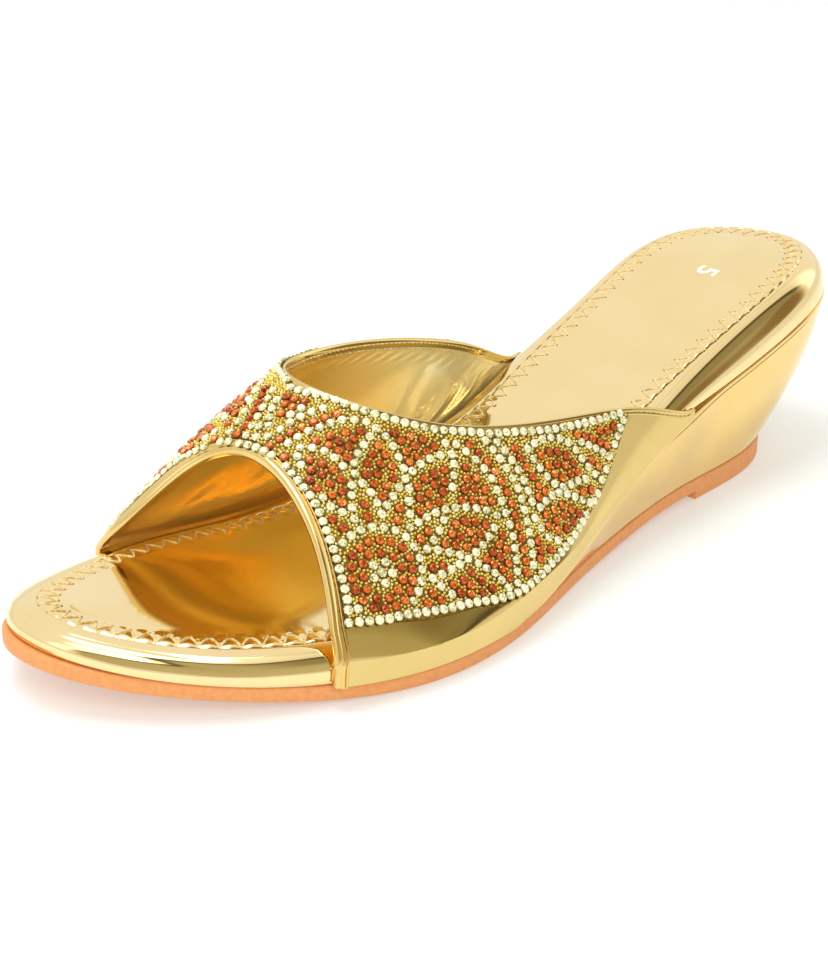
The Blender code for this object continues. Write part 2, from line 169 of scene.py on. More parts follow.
def smooth_line(xs, ys):
    """Natural cubic through the points, as a function of x; level beyond the ends."""
    xs = np.asarray(xs, float)
    ys = np.asarray(ys, float)
    n = len(xs)
    h = np.diff(xs)
    a = np.zeros((n, n))
    b = np.zeros(n)
    a[0, 0] = 1.0
    a[-1, -1] = 1.0
    for i in range(1, n - 1):
        a[i, i - 1:i + 2] = (h[i - 1], 2.0 * (h[i - 1] + h[i]), h[i])
        b[i] = 6.0 * ((ys[i + 1] - ys[i]) / h[i] - (ys[i] - ys[i - 1]) / h[i - 1])
    bend = np.linalg.solve(a, b)

    def value(x):
        inside = np.clip(np.asarray(x, float), xs[0], xs[-1])
        i = np.clip(np.searchsorted(xs, inside) - 1, 0, n - 2)
        left = inside - xs[i]
        right = xs[i + 1] - inside
        y = (bend[i] * right ** 3 + bend[i + 1] * left ** 3) / (6.0 * h[i])
        y = y + (ys[i] / h[i] - bend[i] * h[i] / 6.0) * right
        return y + (ys[i + 1] / h[i] - bend[i + 1] * h[i] / 6.0) * left

    return value


def eased_step(share):
    """Goes from 0 to 1 with level ends: three squares less two cubes of the share, cut to 0..1."""
    share = np.clip(share, 0.0, 1.0)
    return share * share * (3.0 - 2.0 * share)


def between(a, b, share):
    """The value that share of the way from a to b."""
    return a * (1.0 - share) + b * share


def bell(x, middle, width, power=2):
    """1 at the middle, fading as e to the minus of a power of the distance over the width."""
    return np.exp(-((x - middle) / width) ** power)


def table_line(table, columns, key, name, key_scale=1.0, scale=1.0):
    """Smooth curve of one column of a table over another."""
    return smooth_line(column(table, columns, key) * key_scale, column(table, columns, name) * scale)


def footbed_line(name, scale):
    return table_line(FOOTBED_SECTIONS, FOOTBED_COLUMNS, "station", name, LENGTH, scale)


footbed_lateral = footbed_line("lateral", BALL_WIDTH)
footbed_medial = footbed_line("medial", BALL_WIDTH)
footbed_rise = footbed_line("rise", HEEL_TOP - FOREFOOT_TOP)
footbed_depth = footbed_line("depth", FOOTBED_THICKNESS)
SOLE_FRONT = -SOLE_OVERHANG
SOLE_BACK = LENGTH - HEEL_UNDERCUT
sole_stations = SOLE_FRONT + column(SOLE_SECTIONS, SOLE_COLUMNS, "station") * (SOLE_BACK - SOLE_FRONT)
sole_lateral = smooth_line(sole_stations, column(SOLE_SECTIONS, SOLE_COLUMNS, "lateral") * BALL_WIDTH)
sole_medial = smooth_line(sole_stations, column(SOLE_SECTIONS, SOLE_COLUMNS, "medial") * BALL_WIDTH)
front_cut = table_line(STRAP_CUTS, STRAP_COLUMNS, "across", "front", 1.0, LENGTH)
strap_back = table_line(STRAP_CUTS, STRAP_COLUMNS, "across", "back", 1.0, LENGTH)


def strap_front(across):
    """Front edge: the cut line, swept towards the toe where it goes down beside the sole.

    The sweep grows smoothly from a little above each base to the end of its skirt.
    """
    inside = np.clip(across, 0.0, 1.0)
    up = np.minimum(across, 1.0 - across)
    height = np.where(up < 0.0, up * SWEEP_SKIRT, up * ARCH_WIDTH)
    return front_cut(inside) - SWEEP * eased_step((SWEEP_FROM - height) / (SWEEP_FROM + SWEEP_SKIRT))


def footbed_top(y):
    return FOREFOOT_TOP + footbed_rise(y)


def outline(y, front, back, lateral, medial):
    """Both sides of an outline at the stations y: fullness times a round-ended profile."""
    share = (y - front) / (back - front)
    round_end = np.sqrt(np.clip(4.0 * share * (1.0 - share), 0.0, None))
    centre = TOE_SWING + (HEEL_SWING - TOE_SWING) * share
    return centre + round_end * lateral(y), centre - round_end * medial(y)


def footbed_sides(y):
    return outline(y, 0.0, LENGTH, footbed_lateral, footbed_medial)


def shank(y):
    """Height of the sole's underside without the heel pad: toe spring, then a slow lift."""
    spring = TOE_SPRING * (np.clip(SPRING_START - y, 0.0, None) / SPRING_START) ** 2
    return spring + BREAST_STEP * eased_step((y - SHANK_START) / (BREAST - SHANK_START))


def sole_top(y):
    return shank(y) + SOLE_THICKNESS


def footbed_underside(y):
    """Lies on the outsole in front and on the wedge behind."""
    return np.maximum(sole_top(y) + GAP, footbed_top(y) - footbed_depth(y))


# %% Where the last's own zero lies in the frame
fine = np.linspace(0.0, LENGTH, 4001)
footbed_low, footbed_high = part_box("footbed")
SHIFT = np.array([footbed_high.x - footbed_sides(fine)[0].max(), footbed_low.y, 0.0])
print("last origin in the frame, mm:", np.round(SHIFT / MM, 3))

# %% [markdown]
# ## The skin over the instep
# The strap is leather pulled over the last, so its outside is one smooth arch over the footbed at
# every station. Half a turn goes from one rim over the crown to the other: its cosine gives the
# sideways place, and a power of its sine the height, which keeps the crown free of any ridge.

# %% Skin of the last
last_lines = {name: table_line(LAST_SECTIONS, LAST_COLUMNS, "station", name, LENGTH, scale)
              for name, scale in (("spring", 1.0), ("height", INSTEP), ("crown", BALL_WIDTH),
                                  ("lateral", 1.0), ("medial", 1.0))}


def arch(y, across, outward):
    """Rounded arch over the footbed at station y, swollen by outward.

    x is the middle plus the half width times the cosine, leant by the squared sine;
    z is the base plus the height times the sine to the power two over the fullness.
    """
    lateral, medial = footbed_sides(y)
    lateral = lateral + STRAP_OUT + outward
    medial = medial - STRAP_OUT - outward
    middle = (lateral + medial) / 2.0
    half = (lateral - medial) / 2.0
    spring = last_lines["spring"](y)
    cosine = np.cos(across * np.pi)
    sine = np.abs(np.sin(across * np.pi))
    fullness = (last_lines["lateral"](y) * (1.0 + cosine) + last_lines["medial"](y) * (1.0 - cosine)) / 2.0
    x = middle + half * cosine + (last_lines["crown"](y) - middle) * sine ** 2
    z = footbed_top(y) - spring + (spring + last_lines["height"](y) + outward) * sine ** (2.0 / fullness)
    return np.stack([x, y + 0.0 * x, z], axis=-1)


def skin(y, across, outward=0.0):
    """Skin with straight skirts, in the frame: across below 0 or above 1 runs down beside the rim."""
    y, across = np.broadcast_arrays(np.asarray(y, float), np.asarray(across, float))
    points = arch(y, np.clip(across, 0.0, 1.0), outward)
    depth = np.clip(np.maximum(-across, across - 1.0), 0.0, 1.0)
    points[..., 2] += (footbed_underside(y) - points[..., 2]) * depth
    return points + SHIFT


PROBE = 0.0002                # step for measuring along the skin, metres
TURN_PROBE = 0.0005           # the same, as a share across


def skin_frame(y, across, outward=0.0):
    """Point on the skin and three unit arrows: across it, along it towards the heel, and out."""
    inside = np.clip(across, TURN_PROBE, 1.0 - TURN_PROBE)
    over = skin(y, inside + TURN_PROBE) - skin(y, inside - TURN_PROBE)
    along = skin(y + PROBE, inside) - skin(y - PROBE, inside)
    out = np.cross(along, over)
    out /= np.linalg.norm(out, axis=-1, keepdims=True)
    over = over / np.linalg.norm(over, axis=-1, keepdims=True)
    return skin(y, across) + out * np.asarray(outward)[..., None], over, np.cross(over, out), out


def stepped(y, across, distance):
    """Station reached from y by going the distance along the skin, at the same across."""
    inside = np.clip(across, 0.0, 1.0)
    speed = np.linalg.norm(skin(y + PROBE, inside) - skin(y, inside), axis=-1) / PROBE
    return y + distance / speed


crown = skin(strap_back(0.5), 0.5)
print("topline at the crown, mm:", np.round(crown / MM, 1))

# %% [markdown]
# ## Turning arrays into pieces
# A piece is a grid of points, so its faces follow from the grid's numbering. Closed shells get
# their doubled points merged and their normals turned outwards, then each piece is told which body
# it rides on and which material slot it wears.

# %% Grids, shells and joined copies


def grid_faces(rows, columns, join_rows=False, join_columns=False):
    """Four-sided faces between neighbours of a grid; a joined side wraps round to the start."""
    i = np.arange(rows if join_rows else rows - 1)[:, None]
    j = np.arange(columns if join_columns else columns - 1)[None, :]
    a = i * columns + j
    b = (i + 1) % rows * columns + j
    c = (i + 1) % rows * columns + (j + 1) % columns
    d = i * columns + (j + 1) % columns
    return np.stack([a, b, c, d], axis=-1).reshape(-1, 4)


def make_piece(name, points, faces, finish, uv=None, tint=None, closed=True, sharp=40.0, flat=False):
    """Mesh object from arrays, riding on the root body. uv is given for each point, tint for each
    point or face."""
    mesh = bpy.data.meshes.new(name)
    points = np.asarray(points, float).reshape(-1, 3)
    mesh.from_pydata(points.tolist(), [], [tuple(f) for f in faces])
    if tint is not None:
        domain = "POINT" if len(tint) == len(points) else "FACE"
        mesh.attributes.new("tint", "FLOAT", domain).data.foreach_set("value", np.asarray(tint, np.float32))
    if uv is not None:
        corner = np.zeros(len(mesh.loops), int)
        mesh.loops.foreach_get("vertex_index", corner)
        layer = mesh.uv_layers.new(name="UVMap")
        layer.data.foreach_set("uv", np.asarray(uv, float).reshape(-1, 2)[corner].ravel())
    work = bmesh.new()
    work.from_mesh(mesh)
    bmesh.ops.remove_doubles(work, verts=work.verts, dist=1e-7)
    if closed:
        bmesh.ops.recalc_face_normals(work, faces=work.faces)
    work.to_mesh(mesh)
    work.free()
    if not flat:
        mesh.shade_smooth()
        mesh.set_sharp_from_angle(angle=np.radians(sharp))
    mesh.materials.append(finish)
    piece = bpy.data.objects.new(name, mesh)
    bpy.context.scene.collection.objects.link(piece)
    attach(piece, "root")
    print(f"{name}: {len(mesh.polygons)} faces")
    return piece


def ring_stack(rings):
    """Stack of matching loops, closed by rungs from side to side below and above."""
    count = len(rings[0])
    half = count // 2
    points = np.concatenate(rings)
    faces = grid_faces(len(rings), count, join_columns=True).tolist()
    top = (len(rings) - 1) * count
    for i in range(half - 1):
        a, b, c, d = i, i + 1, count - 2 - i, count - 1 - i
        faces.append((a, d, c, b))
        faces.append((top + a, top + b, top + c, top + d))
    return points, faces


def side_stations(front, back, count):
    """Stations from front to back, crowded at both round ends."""
    angle = np.linspace(0.0, np.pi, count + 1)
    return front + (back - front) * (1.0 - np.cos(angle)) / 2.0


def loop(y, sides):
    """Closed loop: down the lateral side from front to back and up the medial side."""
    lateral, medial = sides(y)
    return np.concatenate([np.column_stack([lateral, y]), np.column_stack([medial, y])[::-1]])


def inset(ring, distance):
    """Loop moved inwards in plan by the distance; both ends of each side stay paired."""
    ahead = np.roll(ring, -1, axis=0)
    behind = np.roll(ring, 1, axis=0)
    twin_ahead = np.linalg.norm(ahead - ring, axis=1) < 1e-9
    twin_behind = np.linalg.norm(behind - ring, axis=1) < 1e-9
    ahead[twin_ahead] = np.roll(ring, -2, axis=0)[twin_ahead]
    behind[twin_behind] = np.roll(ring, 2, axis=0)[twin_behind]
    along = ahead - behind
    along /= np.linalg.norm(along, axis=1)[:, None]
    return ring - np.column_stack([along[:, 1], -along[:, 0]]) * np.asarray(distance)[..., None]


def copies(shape, faces, places, axes, sizes):
    """One mesh of many copies: each point is its place plus the shape along that copy's axes.

    shape is (points, 3), places (copies, 3), axes (copies, 3, 3) with one arrow a row, and
    sizes (copies, 3). Faces are the shape's own, numbered on, one whole copy after another.
    """
    scaled = shape[None] * sizes[:, None, :]
    points = places[:, None, :] + np.einsum("cpk,ckx->cpx", scaled, axes)
    start = np.arange(len(places))[:, None] * len(shape)
    columns = [(np.array(face)[None] + start).tolist() for face in faces]
    return points.reshape(-1, 3), [face for one_copy in zip(*columns) for face in one_copy]


# %% [markdown]
# ## Finishes
# Almost everything visible is coated film: a thin metal layer under clear polyurethane, nearly a
# mirror, with a faint orange peel and soft smudges. Each finish is a small node tree on the
# piece's own coordinates, so a pattern has a real size in millimetres and stays where it is.

# %% Small tools for node trees


def new_finish(name, colour, roughness, metallic=0.0, **sockets):
    """Material with one Principled shader; extra sockets are named with underscores."""
    finish = bpy.data.materials.new(name)
    finish.use_nodes = True
    shader = finish.node_tree.nodes["Principled BSDF"]
    shader.inputs["Base Color"].default_value = (*colour, 1.0)
    shader.inputs["Roughness"].default_value = roughness
    shader.inputs["Metallic"].default_value = metallic
    for key, value in sockets.items():
        shader.inputs[key.replace("_", " ")].default_value = value
    finish.diffuse_color = (*colour, 1.0)
    return finish, shader


def add_node(finish, kind, **settings):
    """Node of that kind; a setting with a socket's name fills it, any other is a property."""
    node = finish.node_tree.nodes.new(kind)
    for key, value in settings.items():
        if key.replace("_", " ") in node.inputs:
            node.inputs[key.replace("_", " ")].default_value = value
        else:
            setattr(node, key, value)
    return node


def join(finish, start, out, end, into):
    finish.node_tree.links.new(start.outputs[out], end.inputs[into])


def noise(finish, scale, detail=2.0):
    """Noise on the piece's own coordinates; scale is waves a metre."""
    place = add_node(finish, "ShaderNodeTexCoord")
    cloud = add_node(finish, "ShaderNodeTexNoise", Scale=scale, Detail=detail)
    join(finish, place, "Object", cloud, "Vector")
    return cloud


def tinted(finish, shader, cloud, out, dark, light, low=0.35, high=0.65):
    """Colour that runs from dark to light as the pattern goes from low to high."""
    ramp = add_node(finish, "ShaderNodeValToRGB")
    ramp.color_ramp.elements[0].position = low
    ramp.color_ramp.elements[1].position = high
    ramp.color_ramp.elements[0].color = (*dark, 1.0)
    ramp.color_ramp.elements[1].color = (*light, 1.0)
    join(finish, cloud, out, ramp, "Fac")
    join(finish, ramp, "Color", shader, "Base Color")
    return ramp


def varied_roughness(finish, shader, cloud, low, high):
    spread = add_node(finish, "ShaderNodeMapRange")
    spread.inputs["To Min"].default_value = low
    spread.inputs["To Max"].default_value = high
    join(finish, cloud, "Fac", spread, "Value")
    join(finish, spread, "Result", shader, "Roughness")


def bumps(finish, shader, *layers):
    """Relief from several patterns; each layer is a node, its output, and its height in metres."""
    before = None
    for node, out, height in layers:
        relief = add_node(finish, "ShaderNodeBump", Strength=1.0, Distance=height)
        join(finish, node, out, relief, "Height")
        if before:
            join(finish, before, "Normal", relief, "Normal")
        before = relief
    join(finish, before, "Normal", shader, "Normal")


# %% Gold film, thread, rubber, stones


def gold_film(name, dark, light, smooth, rough, peel=0.000002, ripple=0.00005, metal=1.0, own=False):
    """Mirror film: slow colour drift, smudges in the roughness, orange peel and slow ripples.

    With own, the colour follows the tint stored on the piece from dark to light instead of the drift; on the
    lining that tint is partly the film's colour and partly painted light.
    """
    finish, shader = new_finish(name, light, smooth, metal)
    if own:
        tint = add_node(finish, "ShaderNodeAttribute", attribute_name="tint")
        tinted(finish, shader, tint, "Fac", dark, light, 0.0, 1.0)
    else:
        tinted(finish, shader, noise(finish, 55.0, 3.0), "Fac", dark, light)
    varied_roughness(finish, shader, noise(finish, 140.0, 4.0), smooth, rough)
    bumps(finish, shader, (noise(finish, 1500.0, 2.0), "Fac", peel),
          (noise(finish, 70.0, 1.0), "Fac", ripple))
    return finish


PALE_DARK = (0.90, 0.70, 0.34)
PALE = (0.93, 0.73, 0.38)
WARM_DARK = (0.85, 0.60, 0.22)
WARM = (0.89, 0.64, 0.26)
STRAP_DARK = (0.73, 0.54, 0.195)
STRAP_LIGHT = (0.77, 0.575, 0.225)
# The lining's amber front and pale back are partly its own colours and partly painted light.
LINING_FRONT = (1.0, 0.66, 0.12)
LINING_BACK = (1.0, 0.90, 0.52)
film_sock = gold_film("film_sock", PALE_DARK, PALE, 0.06, 0.10, ripple=0.000010)
film_wedge = gold_film("film_wedge", WARM_DARK, WARM, 0.08, 0.14, ripple=0.00002)
film_strap = gold_film("film_strap", STRAP_DARK, STRAP_LIGHT, 0.07, 0.13, ripple=0.00003)
film_lining = gold_film("film_lining", LINING_FRONT, LINING_BACK, 0.17, 0.27, peel=0.00002, ripple=0.00006,
                        metal=0.6, own=True)
film_tape = gold_film("film_tape", (0.74, 0.51, 0.17), (0.86, 0.64, 0.27), 0.08, 0.16, ripple=0.00002)


def thread_finish(name, dark, light):
    finish, shader = new_finish(name, light, 0.38, 0.25)
    tinted(finish, shader, noise(finish, 900.0, 2.0), "Fac", dark, light)
    twist = add_node(finish, "ShaderNodeTexWave", Scale=900.0, Distortion=2.0, wave_type="BANDS")
    place = add_node(finish, "ShaderNodeTexCoord")
    join(finish, place, "Object", twist, "Vector")
    bumps(finish, shader, (twist, "Fac", 0.00004))
    return finish


gold_thread = thread_finish("gold_thread", (0.70, 0.49, 0.17), (0.95, 0.80, 0.46))
dark_thread = thread_finish("dark_thread", (0.16, 0.09, 0.02), (0.42, 0.28, 0.08))

sole_rubber, rubber_shader = new_finish("sole_rubber", (0.90, 0.37, 0.14), 0.5)
tinted(sole_rubber, rubber_shader, noise(sole_rubber, 900.0, 5.0), "Fac",
       (0.72, 0.285, 0.092), (0.78, 0.335, 0.11))
varied_roughness(sole_rubber, rubber_shader, noise(sole_rubber, 500.0, 3.0), 0.42, 0.62)
bumps(sole_rubber, rubber_shader, (noise(sole_rubber, 1200.0, 3.0), "Fac", 0.00003),
      (noise(sole_rubber, 90.0, 2.0), "Fac", 0.00003))

# The needle holes are painted dark: painted shade inside each hole.
needle_hole_shade, hole_shader = new_finish("needle_hole_shade", (0.10, 0.05, 0.01), 0.6, 0.2)
tinted(needle_hole_shade, hole_shader, noise(needle_hole_shade, 2000.0, 2.0), "Fac",
       (0.05, 0.025, 0.005), (0.18, 0.09, 0.02))


def stone_finish(name, roughness, metallic, *steps):
    """Foil-backed stone: each facet's tint, which paints its reflections and shade, picks a colour between
    the steps' colours, as (level, colour).
    """
    finish, shader = new_finish(name, steps[-2][1], roughness, metallic)
    own = add_node(finish, "ShaderNodeAttribute", attribute_name="tint")
    ramp = tinted(finish, shader, own, "Fac", steps[0][1], steps[-1][1], steps[0][0], steps[-1][0])
    for level, colour in steps[1:-1]:
        ramp.color_ramp.elements.new(level).color = (*colour, 1.0)
    varied_roughness(finish, shader, noise(finish, 1500.0, 2.0), roughness * 0.6, roughness * 1.6)
    return finish


# The low ends of these ramps are painted shade and the high ends painted highlights; the seed beads'
# red-brown low end also carries painted amber light.
cream_glass = stone_finish("cream_glass", 0.10, 0.25,
                           (0.00, (0.20, 0.17, 0.04)), (0.22, (0.62, 0.58, 0.28)),
                           (0.48, (0.96, 0.93, 0.64)), (1.00, (1.0, 1.0, 0.90)))
amber_glass = stone_finish("amber_glass", 0.10, 0.25,
                           (0.00, (0.09, 0.008, 0.002)), (0.35, (0.42, 0.062, 0.008)),
                           (0.72, (0.82, 0.19, 0.020)), (0.92, (1.0, 0.46, 0.10)), (1.00, (1.0, 0.86, 0.60)))
seed_gold = stone_finish("seed_gold", 0.20, 0.45, (0.00, (0.34, 0.10, 0.012)), (0.30, (0.84, 0.58, 0.08)),
                         (1.00, (0.96, 0.91, 0.36)))
backing, backing_shader = new_finish("backing", (0.20, 0.13, 0.02), 0.6, 0.3)
tinted(backing, backing_shader, noise(backing, 1400.0, 3.0), "Fac", (0.13, 0.065, 0.006), (0.36, 0.22, 0.025))

# %% [markdown]
# ## The outsole
# The real outsole is one moulded sheet with a thicker pad under the heel. It could be cut from a
# block, but stacking the same outline a few times, each a little inset, gives the rounded edges.

# %% Outsole
FINE = 150                    # stations along each side of an outline
SOLE_EDGE = 0.0007            # rounding of the outsole's edges
BREAST_DRAFT = 0.0003         # half the slope of the heel pad's front face


def waves(points, height):
    """Slow ripples of hand-laid film: a few crossed sines of the place, up to about the height."""
    x, y, z = np.moveaxis(np.asarray(points) / MM, -1, 0)
    total = np.sin(x / 5.1 + y / 11.3 + 0.7) + np.sin(y / 7.7 - x / 9.2 + z / 6.0 + 2.1)
    total = total + 0.6 * np.sin(x / 2.9 - y / 4.3 + z / 3.1)
    return height * total / 2.6


def edge_rings(plan, low, high, radius, steps=5):
    """Rings of a slab with rounded edges: insets and heights follow quarter circles."""
    turn = np.linspace(0.0, np.pi / 2.0, steps)
    rings = [np.column_stack([inset(plan, radius * (1.0 - np.sin(a))), low + radius * (1.0 - np.cos(a))])
             for a in turn]
    rings += [np.column_stack([inset(plan, radius * (1.0 - np.cos(a))), high - radius * (1.0 - np.sin(a))])
              for a in turn]
    return rings


def sole_piece():
    """Rounded slab between the underside, with its heel pad, and the sole's top."""
    y = np.union1d(side_stations(SOLE_FRONT, SOLE_BACK, FINE), (BREAST - BREAST_DRAFT, BREAST + BREAST_DRAFT))
    plan = loop(y, lambda s: outline(s, SOLE_FRONT, SOLE_BACK, sole_lateral, sole_medial))
    station = plan[:, 1]
    low = np.where(station > BREAST, 0.0, shank(station))
    rings = edge_rings(plan, low, sole_top(station), SOLE_EDGE)
    points, faces = ring_stack(rings)
    return points + SHIFT, faces


points, faces = sole_piece()
outsole = make_piece("outsole_sheet", points, faces, sole_rubber)
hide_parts("outsole")

# %% [markdown]
# ## The wedge
# A foam block feathered to nothing at the waist, with film pulled round it and turned under at
# the top. It leans in towards the floor and its back bulges a little.

# %% Wedge
WEDGE_TUCK = 0.0003           # the wedge's foot lies this far inside the outsole's edge
WEDGE_LIP = 0.0003            # rounding of the wrap's upper fold
WRAP_GAP = 0.00004            # the film is pulled up tight under the rim
WELT = 0.00024                # the doubled film under the rim stands this far proud
WELT_DROP = 0.0011            # height of that doubled strip
WRAP_LEVELS = 40              # outlines from the wedge's foot to its top
PLAIN_UNTIL = 0.0028          # outlines nearer the top than this give way to the welt
WELT_FOOT = 0.6               # the welt keeps above this share of the wedge's height


def wedge_rings(levels):
    """Outlines from the outsole (level 0) up to the footbed (level 1), bulging on the way."""
    share = (1.0 - np.cos(np.linspace(0.0, np.pi, FINE + 1))) / 2.0
    rings = []
    for level in levels:
        blend = 1.0 - (1.0 - level) ** WEDGE_BULGE
        back = SOLE_BACK + (LENGTH - SOLE_BACK) * blend
        y = WEDGE_START + (back - WEDGE_START) * share
        low_y = WEDGE_START + (SOLE_BACK - WEDGE_START) * share
        high_y = WEDGE_START + (LENGTH - WEDGE_START) * share
        low = outline(low_y, SOLE_FRONT, SOLE_BACK, sole_lateral, sole_medial)
        high = footbed_sides(high_y)
        flare = WEDGE_FLARE * eased_step((FLARE_END - high_y) / FLARE_FADE)
        lateral = between(low[0] - WEDGE_TUCK, high[0] + flare, blend)
        medial = between(low[1] + WEDGE_TUCK, high[1] - flare, blend)
        plan = np.concatenate([np.column_stack([lateral, y]), np.column_stack([medial, y])[::-1]])
        bottom = np.concatenate([sole_top(low_y), sole_top(low_y)[::-1]]) + GAP
        top = np.concatenate([footbed_underside(high_y), footbed_underside(high_y)[::-1]]) - WRAP_GAP
        rings.append(np.column_stack([plan, bottom + (top - bottom) * level]))
    return rings


rings = wedge_rings(np.linspace(0.0, 1.0, WRAP_LEVELS))
fold = rings[-1]


def welt_ring(below, out):
    """The top ring lowered by below (kept above the foot of the wedge) and moved out."""
    foot = rings[0][:, 2]
    height = np.maximum(fold[:, 2] - below, foot + (fold[:, 2] - foot) * WELT_FOOT)
    return np.column_stack([inset(fold[:, :2], -out), height])


rings = [ring for ring in rings[:-1] if (fold[:, 2] - ring[:, 2]).max() > PLAIN_UNTIL]
# the welt from below: how far under the top, and how far out; the film pinches in just beneath it
rings += [welt_ring(below, out) for below, out in (
    (WELT_DROP + 0.0004, 0.0), (WELT_DROP + 0.0001, -0.00022), (WELT_DROP - 0.0001, WELT * 0.8),
    (WELT_DROP - 0.0003, WELT), (0.0003, WELT), (0.0001, WELT * 0.7), (0.0, -WEDGE_LIP))]
points, faces = ring_stack(rings)
points[:, 0] += waves(points, 0.00006)
wedge = make_piece("wedge_wrap", points + SHIFT, faces, film_wedge)
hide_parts("wedge")

# %% [markdown]
# ## The footbed
# A padded insole: board, a thin foam and a film sock whose edge is sewn down with a zigzag about
# seven millimetres in from the rim. Rings of the outline, each further in, carry the rim's
# rounding, the groove beside the sock and the slight dip that the stitches pull.

# %% Footbed
RIM_UNDERCUT = 0.0003         # bevel around the footbed's lower edge
HEEL_FULL = (0.125, 0.180)    # over these stations the rounding grows to the heel's full edge
EDGE_LEFT = 0.0007            # upright edge left below the heel's rounding
RIM_STREAK = 0.000045         # height of the fine ridges in the film round the toe
STREAK_PITCH = 0.0016
STREAK_REACH = 0.075          # the ridges fade over this distance from the toe tip
GROOVE_IN = 0.0066            # the sock's cut edge, in from the rim's widest line
STITCH_IN = 0.0109            # inner needle holes, in from the same line
GROOVE_DEPTH = 0.00048
GROOVE_WIDTH = 0.00030
PUFF = 0.00022                # foam stands up between the stitches by this much
OUTER_PUFF = (0.0011, 0.0008) # the outer puffs: in from the groove, and their width
INNER_PUFF = (-0.0004, 0.0009)    # the inner ones: in from the inner holes, and their width
SOCK_CROWN = 0.0004           # the sock is this much fuller in its middle
SOCK_WAVE = 0.000022          # slow unevenness of the sock
PAD_FINE = 520                # stations along each side
SIDE_STEPS = 12               # outlines up the rim's side
ROUND_STEPS = 24              # outlines over its rounding
ROUND_TURN = (5.0, 72.0)      # degrees of the quarter turn which those cover
SMOOTH_END = 0.0060           # the plain band ends here, in from the rim
STITCHED = (0.00624, 0.0121)  # the stitched band lies between these
STITCHED_STEP = 0.00033       # with an outline every so far
BAND_END = 0.0126             # the last outline, where the flat begins
TOP_STEPS = 14                # columns over the flat of the sock
ZIGZAG = 0.00435              # from one outer needle hole to the next

pad_plan = loop(side_stations(0.0, LENGTH, PAD_FINE), footbed_sides)
groove_line = inset(pad_plan, GROOVE_IN)
groove_steps = np.linalg.norm(np.roll(groove_line, -1, axis=0) - groove_line, axis=1)
groove_length = groove_steps.sum()
STITCH_COUNT = int(round(groove_length / ZIGZAG))
pad_phase = (np.cumsum(groove_steps) - groove_steps) / groove_length * STITCH_COUNT


def rim_depth(station):
    """Height of the rounding: the rim's drop at the toe, nearly the whole edge at the heel."""
    start, end = HEEL_FULL
    thick = footbed_top(station) - footbed_underside(station)
    return RIM_DROP + (thick - EDGE_LEFT - RIM_DROP) * eased_step((station - start) / (end - start))


def rim_drop(distance, station):
    """A quarter ellipse: how far the rim lies below the flat, distance in from its widest line."""
    rounding = np.clip(1.0 - distance / RIM_ROUND, 0.0, 1.0)
    return rim_depth(station) * (1.0 - np.sqrt(1.0 - rounding ** 2))


def rim_streaks(depth, phase, station):
    """Fine ridges where the film is pulled round the toe: a sine across them that wanders along."""
    wander = 0.45 * np.sin(0.19 * phase + 0.4) + 0.25 * np.sin(0.53 * phase + 2.0)
    strength = bell(station, 0.0, STREAK_REACH) * (0.6 + 0.4 * np.sin(0.31 * phase))
    strength = strength * np.clip(1.0 - depth / GROOVE_IN, 0.0, 1.0)
    return RIM_STREAK * np.sin(2.0 * np.pi * (depth / STREAK_PITCH + wander)) * strength


def stitch_relief(distance, phase):
    """Groove beside the sock, pinched at every outer hole, and foam puffed between the stitches.

    Both are bells of the distance; a cosine of the phase, one turn for each stitch, spaces them.
    """
    turn = np.cos(2.0 * np.pi * phase)
    groove = -GROOVE_DEPTH * bell(distance, GROOVE_IN, GROOVE_WIDTH) * (0.8 + 0.2 * turn)
    outer = -turn * bell(distance, GROOVE_IN + OUTER_PUFF[0], OUTER_PUFF[1])
    inner = turn * bell(distance, STITCH_IN + INNER_PUFF[0], INNER_PUFF[1])
    return groove + PUFF * (0.8 * outer + 0.6 * inner)


def sock_points(plan, distance, phase):
    """Places in plan lifted on to the footbed's top, distance in from the rim."""
    height = footbed_top(plan[:, 1]) - rim_drop(distance, plan[:, 1]) + stitch_relief(distance, phase)
    points = np.column_stack([plan, height])
    points[:, 2] += waves(points, SOCK_WAVE)
    return points


